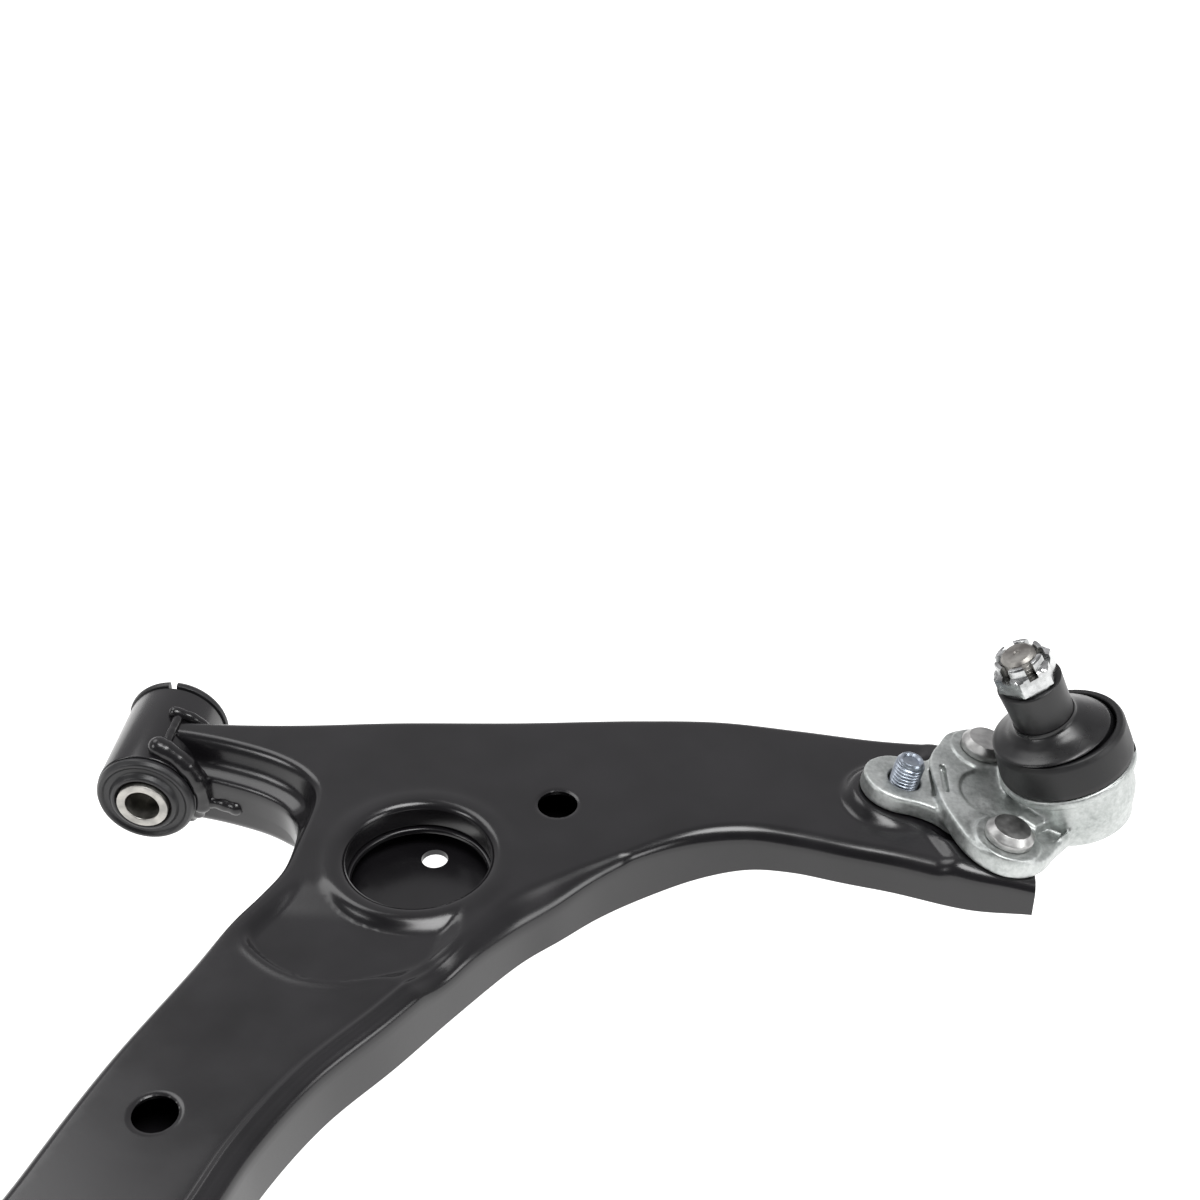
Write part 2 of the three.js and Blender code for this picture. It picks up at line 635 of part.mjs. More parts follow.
add(group, 'tube_weld_rear', bead(besideTube(52, -20, -21.4, -21.4), BEAD), weldPaint);
add(group, 'tube_weld_front', bead(besideTube(52, -20, 8.6, 8.6), BEAD), weldPaint);

// Points beside the rear ring at one height, over a range of angles.
function besideRing(fromDegrees, toDegrees, z) {
  const reach = REAR.ringRadius + BEAD + GAP;
  const points = [];
  for (let i = 0; i <= 4; i += 1) {
    const angle = THREE.MathUtils.degToRad(fromDegrees + ((toDegrees - fromDegrees) * i) / 4);
    points.push([REAR.x + reach * Math.cos(angle), REAR.y + reach * Math.sin(angle), z]);
  }
  return points;
}

const underFloor = FLOOR_Z - LOWER_PLATE - BEAD - GAP;
add(group, 'ring_weld_top', bead(besideRing(42, 128, BEAD + GAP), BEAD), weldPaint);
add(group, 'ring_weld_bottom', bead(besideRing(42, 128, underFloor), BEAD), weldPaint);

group.updateMatrixWorld(true);
const extent = new THREE.Box3().setFromObject(group);
const middle = extent.getCenter(new THREE.Vector3());
group.position.set(-middle.x, -middle.y, -extent.min.z);

export default group;
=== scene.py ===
# Looks of a car's front lower control arm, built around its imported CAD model.
# Shapes are written in millimetres in the arm's own frame, as in the CAD source: x outboard to
# the ball joint, y forward along the front bush, z = 0 on the flat top face of the pressing.

import math

import bmesh
import bpy
import numpy as np
from mathutils import Matrix, Vector
from mathutils.geometry import delaunay_2d_cdt


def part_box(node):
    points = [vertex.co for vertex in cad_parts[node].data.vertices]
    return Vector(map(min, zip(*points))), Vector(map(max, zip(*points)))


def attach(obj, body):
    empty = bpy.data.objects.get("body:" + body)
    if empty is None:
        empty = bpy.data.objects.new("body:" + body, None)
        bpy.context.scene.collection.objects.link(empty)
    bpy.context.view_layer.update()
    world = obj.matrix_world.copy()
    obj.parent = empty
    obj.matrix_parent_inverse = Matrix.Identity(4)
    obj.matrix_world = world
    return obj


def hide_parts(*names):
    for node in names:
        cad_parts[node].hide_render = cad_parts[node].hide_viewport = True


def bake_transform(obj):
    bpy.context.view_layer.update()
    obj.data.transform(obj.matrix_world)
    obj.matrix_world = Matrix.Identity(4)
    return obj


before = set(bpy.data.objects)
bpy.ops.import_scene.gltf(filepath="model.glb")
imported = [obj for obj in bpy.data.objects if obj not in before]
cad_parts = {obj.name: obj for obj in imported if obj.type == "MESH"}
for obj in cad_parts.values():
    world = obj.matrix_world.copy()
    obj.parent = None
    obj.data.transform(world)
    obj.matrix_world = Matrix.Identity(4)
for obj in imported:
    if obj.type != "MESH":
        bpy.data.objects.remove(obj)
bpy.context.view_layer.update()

MM = 0.001
FRONT_Z = -20.0
tube_low, tube_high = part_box("front_bush_tube")
ORIGIN = np.array((tube_low + tube_high) / 2) - np.array([0.0, 0.0, FRONT_Z * MM])


# ---------------------------------------------------------------- small tools


def smooth(x, start, end):
    t = np.clip((x - start) / (end - start), 0.0, 1.0)
    return t * t * (3 - 2 * t)


def soft_min(a, b, k):
    h = np.clip(0.5 + 0.5 * (b - a) / k, 0.0, 1.0)
    return b * (1 - h) + a * h - k * h * (1 - h)


def soft_max(a, b, k):
    return -soft_min(-a, -b, k)


def unit(v):
    v = np.asarray(v, float)
    return v / np.linalg.norm(v)


class Place:
    """A local frame in the arm: where its origin is and which way its axes point."""

    def __init__(self, origin, axis, ahead):
        self.origin = np.asarray(origin, float)
        z = unit(axis)
        y = unit(np.cross(z, ahead))
        self.axes = np.array([np.cross(y, z), y, z])

    def out(self, points):
        return self.origin + np.asarray(points, float) @ self.axes

    def into(self, points):
        return (np.asarray(points, float) - self.origin) @ self.axes.T


def leaning(origin, lean_x, lean_y, heading=0.0):
    axis = [math.tan(math.radians(lean_x)), math.tan(math.radians(lean_y)), 1.0]
    ahead = [math.cos(math.radians(heading)), math.sin(math.radians(heading)), 0.0]
    return Place(origin, axis, ahead)


def spline(points, spacing, closed=False):
    """Points every spacing mm along a smooth curve through the given points."""
    p = np.asarray(points, float)
    n = len(p)
    if closed:
        ext = np.vstack([p[-1], p, p[0], p[1]])
        spans = n
    else:
        ext = np.vstack([2 * p[0] - p[1], p, 2 * p[-1] - p[-2]])
        spans = n - 1
    fine = []
    for i in range(spans):
        a, b, c, d = ext[i : i + 4]
        t0 = 0.0
        t1 = t0 + np.linalg.norm(b - a) ** 0.5
        t2 = t1 + np.linalg.norm(c - b) ** 0.5
        t3 = t2 + np.linalg.norm(d - c) ** 0.5
        t = np.linspace(t1, t2, 24, endpoint=False)[:, None]
        a1 = (t1 - t) / (t1 - t0) * a + (t - t0) / (t1 - t0) * b
        a2 = (t2 - t) / (t2 - t1) * b + (t - t1) / (t2 - t1) * c
        a3 = (t3 - t) / (t3 - t2) * c + (t - t2) / (t3 - t2) * d
        b1 = (t2 - t) / (t2 - t0) * a1 + (t - t0) / (t2 - t0) * a2
        b2 = (t3 - t) / (t3 - t1) * a2 + (t - t1) / (t3 - t1) * a3
        fine.append((t2 - t) / (t2 - t1) * b1 + (t - t1) / (t2 - t1) * b2)
    fine.append(p[:1] if closed else p[-1:])
    fine = np.vstack(fine)
    run = np.concatenate([[0], np.cumsum(np.linalg.norm(np.diff(fine, axis=0), axis=1))])
    steps = max(2, int(round(run[-1] / spacing)))
    at = np.linspace(0, run[-1], steps + 1)
    if closed:
        at = at[:-1]
    return np.column_stack([np.interp(at, run, fine[:, k]) for k in range(fine.shape[1])])


def filleted(outline, steps=5, closed=True):
    """A polygon of (x, y) or (x, y, fillet radius) corners with its fillets as arcs."""
    result = []
    count = len(outline)
    for i, corner in enumerate(outline):
        p = np.array(corner[:2], float)
        radius = corner[2] if len(corner) > 2 else 0.0
        if radius <= 0 or (not closed and i in (0, count - 1)):
            result.append(p)
            continue
        to_last = np.array(outline[i - 1][:2], float) - p
        to_next = np.array(outline[(i + 1) % count][:2], float) - p
        room = 0.49 * min(np.linalg.norm(to_last), np.linalg.norm(to_next))
        to_last, to_next = unit(to_last), unit(to_next)
        half = 0.5 * math.acos(float(np.clip(to_last @ to_next, -0.9999, 0.9999)))
        reach = min(radius / math.tan(half), room)
        bow = reach * math.tan(half)
        centre = p + unit(to_last + to_next) * bow / math.sin(half)
        first = p + to_last * reach - centre
        last = p + to_next * reach - centre
        turn = math.pi - 2 * half
        for k in range(steps + 1):
            t = k / steps
            result.append(centre + (math.sin((1 - t) * turn) * first + math.sin(t * turn)
                * last) / math.sin(turn))
    return np.array(result)


def inside_distance(points, polygon):
    """Signed distance in plan from points to a closed polygon, negative inside it."""
    poly = np.asarray(polygon, float)
    best = np.full(len(points), 1e9)
    inside = np.zeros(len(points), bool)
    x, y = points[:, 0], points[:, 1]
    for a, b in zip(poly, np.roll(poly, -1, axis=0)):
        edge = b - a
        t = np.clip(((x - a[0]) * edge[0] + (y - a[1]) * edge[1]) / max(edge @ edge, 1e-12), 0, 1)
        best = np.minimum(best, np.hypot(x - a[0] - t * edge[0], y - a[1] - t * edge[1]))
        with np.errstate(divide="ignore", invalid="ignore"):
            cross = (a[1] > y) != (b[1] > y)
            inside ^= cross & (x < edge[0] * (y - a[1]) / edge[1] + a[0])
    return np.where(inside, -best, best)


# ---------------------------------------------------------------- meshes


def mesh_object(name, points, faces, material, angle=38.0, weld=0.0):
    """A mesh object from points in mm, shaded smooth except across sharp edges."""
    mesh = bpy.data.meshes.new(name)
    where = np.asarray(points, float) * MM + ORIGIN
    mesh.from_pydata(where.tolist(), [], [list(map(int, f)) for f in faces])
    work = bmesh.new()
    work.from_mesh(mesh)
    if weld:
        bmesh.ops.remove_doubles(work, verts=work.verts, dist=weld * MM)
    bmesh.ops.recalc_face_normals(work, faces=work.faces)
    work.to_mesh(mesh)
    work.free()
    obj = bpy.data.objects.new(name, mesh)
    bpy.context.scene.collection.objects.link(obj)
    mesh.materials.append(material)
    shade(obj, angle)
    return obj


def shade(obj, angle=38.0):
    obj.data.shade_smooth()
    obj.data.set_sharp_from_angle(angle=math.radians(angle))


def cut(obj, cutters, angle=38.0):
    """Takes closed cutter objects away from obj, then removes the cutters."""
    for cutter in cutters:
        step = obj.modifiers.new("cut", "BOOLEAN")
        step.object = cutter
        step.operation = "DIFFERENCE"
        step.solver = "MANIFOLD"
    bpy.context.view_layer.update()
    shape = obj.evaluated_get(bpy.context.evaluated_depsgraph_get())
    mesh = bpy.data.meshes.new_from_object(shape)
    obj.modifiers.clear()
    old = obj.data
    obj.data = mesh
    bpy.data.meshes.remove(old)
    for cutter in cutters:
        bpy.data.objects.remove(cutter)
    shade(obj, angle)
    return obj


def fit(obj, body, slot, *nodes):
    """Hangs a finished piece on its CAD body in place of the CAD nodes it stands for."""
    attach(obj, body)
    if nodes:
        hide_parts(*nodes)
    return obj


def turned(name, outline, place, material, segments=96, radius_at=None, angle=38.0):
    """A solid of revolution from a closed outline of (radius, height) or (radius, height, fillet)."""
    profile = filleted(outline)
    turn = np.linspace(0, 2 * math.pi, segments, endpoint=False)
    points = []
    for r, z in profile:
        reach = np.full(segments, r) if radius_at is None else radius_at(turn, r, z)
        points.append(np.column_stack([reach * np.cos(turn), reach * np.sin(turn), np.full(segments, z)]))
    rows = len(profile)
    faces = []
    for i in range(rows):
        a, b = i * segments, ((i + 1) % rows) * segments
        for j in range(segments):
            k = (j + 1) % segments
            faces.append((a + j, a + k, b + k, b + j))
    obj = mesh_object(name, place.out(np.vstack(points)), faces, material, angle, weld=0.002)
    work = bmesh.new()
    work.from_mesh(obj.data)
    flat = [f for f in work.faces if f.calc_area() < 1e-14]
    bmesh.ops.delete(work, geom=flat, context="FACES")
    loose = [e for e in work.edges if not e.link_faces]
    bmesh.ops.delete(work, geom=loose, context="EDGES")
    bmesh.ops.recalc_face_normals(work, faces=work.faces)
    work.to_mesh(obj.data)
    work.free()
    shade(obj, angle)
    return obj


def turned_part(body, slot, name, *shape):
    """A turned piece that rides on a body in place of the node of its own name."""
    fit(turned(name, *shape), body, slot, name)


def block(name, low, high, place=None):
    """A closed box used only as a cutter."""
    xs, ys, zs = zip(low, high)
    points = np.array([(x, y, z) for x in xs for y in ys for z in zs], float)
    if place is not None:
        points = place.out(points)
    faces = [(0, 1, 3, 2), (4, 6, 7, 5), (0, 4, 5, 1), (2, 3, 7, 6), (0, 2, 6, 4), (1, 5, 7, 3)]
    return mesh_object(name, points, faces, plain)


def rod(name, radius, low, high, place, segments=96):
    """A closed cylinder used only as a cutter."""
    return turned(name, [(0, low), (radius, low), (radius, high), (0, high)], place, plain, segments)


def skin_of(field, low, step):
    """The zero surface of a sampled field, as points and quads (naive surface nets)."""
    shape = np.array(field.shape)
    total = np.zeros((*(shape - 1), 3))
    hits = np.zeros(shape - 1)
    crossings = []
    for axis in range(3):
        near = [slice(None)] * 3
        far = [slice(None)] * 3
        near[axis], far[axis] = slice(0, -1), slice(1, None)
        a, b = field[tuple(near)], field[tuple(far)]
        index = np.argwhere((a < 0) != (b < 0))
        va, vb = a[tuple(index.T)], b[tuple(index.T)]
        spot = index.astype(float)
        spot[:, axis] += va / (va - vb)
        cells = []
        for dj, dk in ((0, 0), (1, 0), (1, 1), (0, 1)):
            cell = index.copy()
            cell[:, (axis + 1) % 3] -= dj
            cell[:, (axis + 2) % 3] -= dk
            ok = np.all((cell >= 0) & (cell < shape - 1), axis=1)
            np.add.at(total, tuple(cell[ok].T), spot[ok])
            np.add.at(hits, tuple(cell[ok].T), 1)
            cells.append((cell, ok))
        crossings.append((cells, va < 0))
    used = np.argwhere(hits > 0)
    number = np.full(shape - 1, -1)
    number[tuple(used.T)] = np.arange(len(used))
    points = total[tuple(used.T)] / hits[tuple(used.T)][:, None] * step + low
    faces = []
    for cells, inward in crossings:
        ok = np.all([c[1] for c in cells], axis=0)
        quad = np.column_stack([number[tuple(c[0][ok].T)] for c in cells])
        flip = ~inward[ok]
        quad[flip] = quad[flip][:, ::-1]
        faces.append(quad)
    return points, np.vstack(faces)


def cast(name, field, low, high, step, place, material, angle=50.0):
    """A mesh of the solid where field(points) is below zero, in a local frame."""
    low, high = np.asarray(low, float), np.asarray(high, float)
    axes = [np.arange(low[k] - 2 * step, high[k] + 3 * step, step) for k in range(3)]
    grid = np.stack(np.meshgrid(*axes, indexing="ij"), -1)
    values = field(grid.reshape(-1, 3)).reshape(grid.shape[:3])
    points, faces = skin_of(values, low - 2 * step, step)
    return mesh_object(name, place.out(points), faces, material, angle)


# ---------------------------------------------------------------- materials


def new_material(name, base, roughness, metallic=0.0, coat=0.0, specular=0.5):
    material = bpy.data.materials.new(name)
    material.use_nodes = True
    nodes, links = material.node_tree.nodes, material.node_tree.links
    shader = nodes["Principled BSDF"]
    shader.inputs["Base Color"].default_value = (*base, 1)
    shader.inputs["Roughness"].default_value = roughness
    shader.inputs["Metallic"].default_value = metallic
    shader.inputs["Coat Weight"].default_value = coat
    shader.inputs["Coat Roughness"].default_value = 0.12
    shader.inputs["Specular IOR Level"].default_value = specular
    place = nodes.new("ShaderNodeTexCoord")
    return material, nodes, links, shader, place.outputs["Object"]


def noise(nodes, links, place, scale, detail=4.0, rough=0.55, stretch=None):
    texture = nodes.new("ShaderNodeTexNoise")
    texture.inputs["Scale"].default_value = scale
    texture.inputs["Detail"].default_value = detail
    texture.inputs["Roughness"].default_value = rough
    if stretch is None:
        links.new(place, texture.inputs["Vector"])
    else:
        mapping = nodes.new("ShaderNodeMapping")
        mapping.inputs["Scale"].default_value = stretch
        links.new(place, mapping.inputs["Vector"])
        links.new(mapping.outputs["Vector"], texture.inputs["Vector"])
    return texture.outputs["Fac"]


def ranged(nodes, links, value, low, high, new_low, new_high):
    node = nodes.new("ShaderNodeMapRange")
    node.inputs["From Min"].default_value = low
    node.inputs["From Max"].default_value = high
    node.inputs["To Min"].default_value = new_low
    node.inputs["To Max"].default_value = new_high
    links.new(value, node.inputs["Value"])
    return node.outputs["Result"]


def tinted(nodes, links, value, dark, light, low=0.35, high=0.65):
    ramp = nodes.new("ShaderNodeValToRGB")
    ramp.color_ramp.elements[0].position = low
    ramp.color_ramp.elements[0].color = (*dark, 1)
    ramp.color_ramp.elements[1].position = high
    ramp.color_ramp.elements[1].color = (*light, 1)
    links.new(value, ramp.inputs["Fac"])
    return ramp.outputs["Color"]


def bumped(nodes, links, shader, heights):
    """Adds bumps, each (value, strength, distance in mm)."""
    last = None
    for value, strength, distance in heights:
        bump = nodes.new("ShaderNodeBump")
        bump.inputs["Strength"].default_value = strength
        bump.inputs["Distance"].default_value = distance * MM
        links.new(value, bump.inputs["Height"])
        if last is not None:
            links.new(last, bump.inputs["Normal"])
        last = bump.outputs["Normal"]
    links.new(last, shader.inputs["Normal"])


def paint_material(name, shade_of=1.0):
    base = (0.0062 * shade_of, 0.0058 * shade_of, 0.0067 * shade_of)
    material, nodes, links, shader, place = new_material(name, base, 0.22, specular=0.5)
    cloud = noise(nodes, links, place, 28, 3)
    peel = noise(nodes, links, place, 420, 3, 0.5)
    grit = noise(nodes, links, place, 2400, 2, 0.6)
    dark = tuple(0.8 * c for c in base)
    light = tuple(1.35 * c for c in base)
    links.new(tinted(nodes, links, cloud, dark, light), shader.inputs["Base Color"])
    links.new(ranged(nodes, links, cloud, 0.3, 0.7, 0.19, 0.27), shader.inputs["Roughness"])
    bumped(nodes, links, shader, [(peel, 0.2, 0.035), (grit, 0.2, 0.006)])
    return material


def rubber_material(name, base, roughness, grain=0.05, specular=0.5):
    material, nodes, links, shader, place = new_material(name, base, roughness, specular=specular)
    patch = noise(nodes, links, place, 90, 4)
    fine = noise(nodes, links, place, 1500, 3, 0.6)
    dark = tuple(0.75 * c for c in base)
    light = tuple(1.5 * c for c in base)
    links.new(tinted(nodes, links, patch, dark, light), shader.inputs["Base Color"])
    links.new(ranged(nodes, links, patch, 0.3, 0.7, roughness - 0.06, roughness + 0.08),
        shader.inputs["Roughness"])
    bumped(nodes, links, shader, [(patch, 0.15, 0.3), (fine, 0.4, grain)])
    return material


def forging_material():
    material, nodes, links, shader, place = new_material("forged_zinc", (0.42, 0.44, 0.43), 0.42,
        metallic=0.9)
    broad = noise(nodes, links, place, 60, 5, 0.6)
    speck = noise(nodes, links, place, 520, 4, 0.65)
    grain = noise(nodes, links, place, 1700, 3, 0.6)
    mix = nodes.new("ShaderNodeMix")
    mix.inputs["Factor"].default_value = 0.45
    links.new(broad, mix.inputs["A"])
    links.new(speck, mix.inputs["B"])
    value = mix.outputs["Result"]
    tones = tinted(nodes, links, value, (0.29, 0.31, 0.30), (0.56, 0.58, 0.57), 0.36, 0.62)
    links.new(tones, shader.inputs["Base Color"])
    links.new(ranged(nodes, links, value, 0.35, 0.65, 0.34, 0.56), shader.inputs["Roughness"])
    bumped(nodes, links, shader, [(broad, 0.25, 0.5), (speck, 0.35, 0.12), (grain, 0.3, 0.03)])
    return material


def plated_material(name, dark, light, roughness, turned_about=None):
    material, nodes, links, shader, place = new_material(name, light, roughness, metallic=1.0)
    cloud = noise(nodes, links, place, 160, 4)
    scratch = noise(nodes, links, place, 700, 3, 0.6)
    links.new(tinted(nodes, links, cloud, dark, light), shader.inputs["Base Color"])
    links.new(ranged(nodes, links, cloud, 0.3, 0.7, roughness - 0.05, roughness + 0.12),
        shader.inputs["Roughness"])
    heights = [(cloud, 0.12, 0.15), (scratch, 0.2, 0.02)]
    if turned_about is not None:
        centre, turn = turned_about
        mapping = nodes.new("ShaderNodeMapping")
        mapping.vector_type = "TEXTURE"
        mapping.inputs["Location"].default_value = tuple(np.asarray(centre) * MM + ORIGIN)
        mapping.inputs["Rotation"].default_value = turn
        links.new(place, mapping.inputs["Vector"])
        rings = nodes.new("ShaderNodeTexWave")
        rings.wave_type = "RINGS"
        rings.rings_direction = "Z"
        rings.inputs["Scale"].default_value = 520
        rings.inputs["Distortion"].default_value = 0.6
        links.new(mapping.outputs["Vector"], rings.inputs["Vector"])
        heights.append((rings.outputs["Fac"], 0.3, 0.02))
    bumped(nodes, links, shader, heights)
    return material


plain = bpy.data.materials.new("plain")
paint = paint_material("black_paint")
weld_paint = paint_material("weld_paint", 0.9)
bush_rubber = rubber_material("bush_rubber", (0.0085, 0.0085, 0.0095), 0.42)
boot_rubber = rubber_material("boot_rubber", (0.0055, 0.0055, 0.006), 0.3, 0.02)
cup_plastic = rubber_material("cup_plastic", (0.0055, 0.0055, 0.006), 0.46, 0.03, 0.4)
sleeve_plastic = rubber_material("sleeve_plastic", (0.0055, 0.0055, 0.006), 0.38, 0.02)
nylon = rubber_material("white_nylon", (0.7, 0.69, 0.64), 0.5, 0.03)
forged = forging_material()
bright_zinc = plated_material("bright_zinc", (0.3, 0.305, 0.305), (0.58, 0.59, 0.59), 0.2)
blue_zinc = plated_material("blue_zinc", (0.22, 0.25, 0.29), (0.4, 0.44, 0.5), 0.32)
head_zinc = plated_material("head_zinc", (0.3, 0.3, 0.295), (0.5, 0.5, 0.49), 0.36)
stud_steel = plated_material("stud_steel", (0.16, 0.15, 0.14), (0.34, 0.33, 0.31), 0.4)
front_steel = plated_material("front_steel", (0.26, 0.255, 0.24), (0.46, 0.45, 0.42), 0.36,
                              ((0, 0, FRONT_Z), (math.pi / 2, 0, 0)))
rear_steel = plated_material("rear_steel", (0.26, 0.255, 0.24), (0.46, 0.45, 0.42), 0.36,
    ((45, -290, 0), (0, 0, 0)))


# ---------------------------------------------------------------- frames of the pieces

FRONT = Place([0, 0, FRONT_Z], [0, 1, 0], [0, 0, 1])
REAR = Place([45, -290, -13], [0, 0, 1], [1, 0, 0])
FLANGE = leaning([346, -13, 5.9], 12, 2.9, 7.5)
BALL = [377.6, -2.8, 6.8]
SOCKET = leaning(BALL, -20.5, 3)
STUD = leaning(BALL, -25.5, -1.5)
WELL = np.array([124.0, -67.0])
WELL_RADIUS = 28.3
TOOLING_HOLES = [(173.7, -31.5), (60.3, -202.5)]
BOLT_UV = (-35.0, 6.0)
POCKET = np.array([(13.6, 25.5), (19.5, 23.5), (38.0, 2.5), (35.5, 1.0), (29.5, 6.0), (21.5, 13.0),
    (14.6, 18.5)])
STUD_V = 27.5


# ---------------------------------------------------------------- plan of the arm

FAR_EDGE = [(-52, 28), (-14, 7), (8, 5), (30, 5.6), (60, 8.6), (100, 14.7), (150, 20.4), (200, 27.5),
    (235, 30.5), (268, 28.4), (302, 25.5), (335, 26), (361, 27), (402, 28)]
NEAR_EDGE = [(402, -56), (361, -55), (337, -55), (307, -48.5), (289, -45.5), (268, -41.5), (250, -40),
    (231, -44.5), (213, -54), (195, -68), (181, -82.5), (168, -96), (148, -125), (131, -152), (111, -181.5),
    (97, -213), (89, -242), (79, -268), (68, -293), (62, -332)]
INNER_EDGE = [(26, -332), (19, -290), (16, -262), (23.5, -229), (36.5, -181), (53, -134), (61, -109),
    (68, -93.5), (73, -80), (74, -68), (72.5, -54), (68, -42), (61, -32.5), (50, -26), (36, -21.5),
    (22, -18.5), (8, -17), (-14, -18), (-52, -38)]



def with_round_ends(points, spacing):
    """The outline at an even spacing, its corners rounded where the neighbouring pieces cut it off."""
    closed = np.vstack([points, points[:1]])
    run = np.concatenate([[0], np.cumsum(np.linalg.norm(np.diff(closed, axis=0), axis=1))])
    at = np.linspace(0, run[-1], int(run[-1] / spacing) + 1)[:-1]
    line = np.column_stack([np.interp(at, run, closed[:, k]) for k in range(2)])
    loose = (line[:, 0] < 0) | (line[:, 0] > 366) | (line[:, 1] < -294)
    for _ in range(80):
        eased = 0.5 * line + 0.25 * (np.roll(line, 1, axis=0) + np.roll(line, -1, axis=0))
        line[loose] = eased[loose]
    return line


near_line = spline(NEAR_EDGE, 2.2)
outline = with_round_ends(np.vstack([spline(FAR_EDGE, 2), near_line, spline(INNER_EDGE, 2)]), 2.1)


def inward(points):
    """Unit vectors pointing into the arm from each point of its clockwise outline."""
    ahead = np.roll(points, -1, axis=0) - points
    behind = points - np.roll(points, 1, axis=0)
    ahead /= np.linalg.norm(ahead, axis=1)[:, None]
    behind /= np.linalg.norm(behind, axis=1)[:, None]
    along = ahead + behind
    along /= np.linalg.norm(along, axis=1)[:, None]
    return np.column_stack([along[:, 1], -along[:, 0]])


outline_inward = inward(outline)


def shoulder(x, y):
    """Where the stepped shoulder of the short leg has taken over from the plain rolled edge."""
    return np.where(y < -10, (1 - smooth(x, 64, 78)) * smooth(y, -74, -42) * smooth(x, -12, 0), 0.0)


def wide_roll(x, y):
    """Where the near edge opens into a wider roll, beside the large hole."""
    return np.exp(-(((x - 172) / 30) ** 2) - ((y + 93) / 36) ** 2) * (y < -60)


def near_distance(points):
    best = np.full(len(points), 1e9)
    for start in range(0, len(near_line), 40):
        part = near_line[start : start + 40]
        gap = np.hypot(points[:, None, 0] - part[None, :, 0], points[:, None, 1] - part[None, :, 1])
        best = np.minimum(best, gap.min(axis=1))
    return best


RECESS = spline([(66, -97), (66.5, -109), (71, -120), (82, -129.5), (94, -134.5), (108, -135), (122, -131),
    (133, -127.5), (140, -122), (143, -110), (143, -97), (139, -88), (124, -84), (96, -78), (78, -84)], 3,
                 closed=True)
FLANGE_BODY = [(-14, -33), (-4, -40.5), (6, -40.5), (14, -36), (22, -26), (34, -12), (44, 0), (48, 8),
    (44, 17), (34, 28), (22, 36), (14, 40.5), (5, 42), (-5, 41.5), (-13, 37), (-18, 29), (-22, 22), (-24, 14),
    (-24, -4), (-20, -20)]
FLANGE_LOBE = [(-16, -16), (-24, -10.5), (-31, -8), (-40, -7), (-48, -2.5), (-51.5, 6), (-49, 14.5),
    (-41, 20.3), (-32, 21), (-22, 21), (-14, 22)]
BODY_LINE = spline(FLANGE_BODY, 2.0, closed=True)
LOBE_LINE = spline(FLANGE_LOBE, 2.0, closed=True)
RECESS_DEPTH = 3.2
WELL_LIP = 3.2
# heights of the arm's face under the flange's body and under its lobe, in the flange's frame
PAD_LEVEL = -8.35
FOOT_LEVEL = -12.35
# radius of the ball joint's barrel, and how much narrower its foot is
BARREL_RADIUS = 23.8
BARREL_TAPER = 3.8


def flange_plane(points, height):
    """Height above the arm of a plane parallel to the flange, at points in plan."""
    n = FLANGE.axes[2]
    o = FLANGE.origin
    return o[2] + (height - n[0] * (points[:, 0] - o[0]) - n[1] * (points[:, 1] - o[1])) / n[2]


def flange_uv(points, height):
    z = flange_plane(points, height)
    return FLANGE.into(np.column_stack([points[:, :2], z]))[:, :2]


def top_height(points):
    """Height of the pressed top face at points in plan, away from the rolled edges."""
    x, y = points[:, 0], points[:, 1]
    z = np.zeros(len(points))
    # pocket beside the large hole, and the low boss ring that bounds it
    from_well = np.hypot(x - WELL[0], y - WELL[1])
    pocket = np.maximum(inside_distance(points, RECESS), 37.5 - from_well)
    crisp = smooth(y, -112, -126) * (1 - smooth(x, 112, 134))
    soft = 2.6 + 2.6 * smooth(x, 110, 136)
    from_edge = -inside_distance(points, outline)
    depth = RECESS_DEPTH * smooth(y, -82, -106) * smooth(from_edge, 6.5, 12.5)
    z -= depth * smooth(pocket, soft - (soft - 1.3) * crisp, -soft + (soft - 1.5) * crisp)
    z += 0.3 * crisp * np.exp(-(((pocket - 2.6) / 1.8) ** 2)) * smooth(from_edge, 8, 14)
    z += 0.5 * smooth(from_well, 40, 34) * smooth(from_well, 29, 33)
    # rolled lips of the holes
    into_lip = np.maximum(0, WELL_RADIUS + WELL_LIP - from_well)
    z -= np.maximum(0, WELL_LIP - np.sqrt(np.maximum(0, WELL_LIP**2 - into_lip**2)))
    for hx, hy in TOOLING_HOLES:
        reach = np.hypot(x - hx, y - hy) - 8.0
        z -= 0.5 * smooth(reach, 1.5, 0.0) ** 2
    # bent pad and raised boss under the ball joint flange
    pad = flange_plane(points, PAD_LEVEL)
    level = soft_min(z, pad, 1.6)
    body = inside_distance(flange_uv(points, -8.0), BODY_LINE)
    raised = np.maximum(level, pad)
    level = level + (raised - level) * smooth(body, 7.5, 1.5) * (x > 300)
    foot = flange_plane(points, FOOT_LEVEL)
    lobe = inside_distance(flange_uv(points, -12.0), LOBE_LINE)
    near_lobe = smooth(lobe, 8.0, 0.8)
    level = level + (foot - level) * near_lobe
    return level


PLATE = 3.0


def creased(x, y):
    """Where the long leg's near edge carries a fine raised line beside its roll."""
    on_near = near_distance(np.column_stack([x, y])) < 1.5
    return on_near * smooth(y, -100, -142) * smooth(y, -272, -250)


def broad_roll(x, y):
    """Where the outer arm's near edge has a broader roll."""
    on_near = near_distance(np.column_stack([x, y])) < 1.5
    return on_near * smooth(x, 200, 240) * (1 - smooth(x, 326, 350))


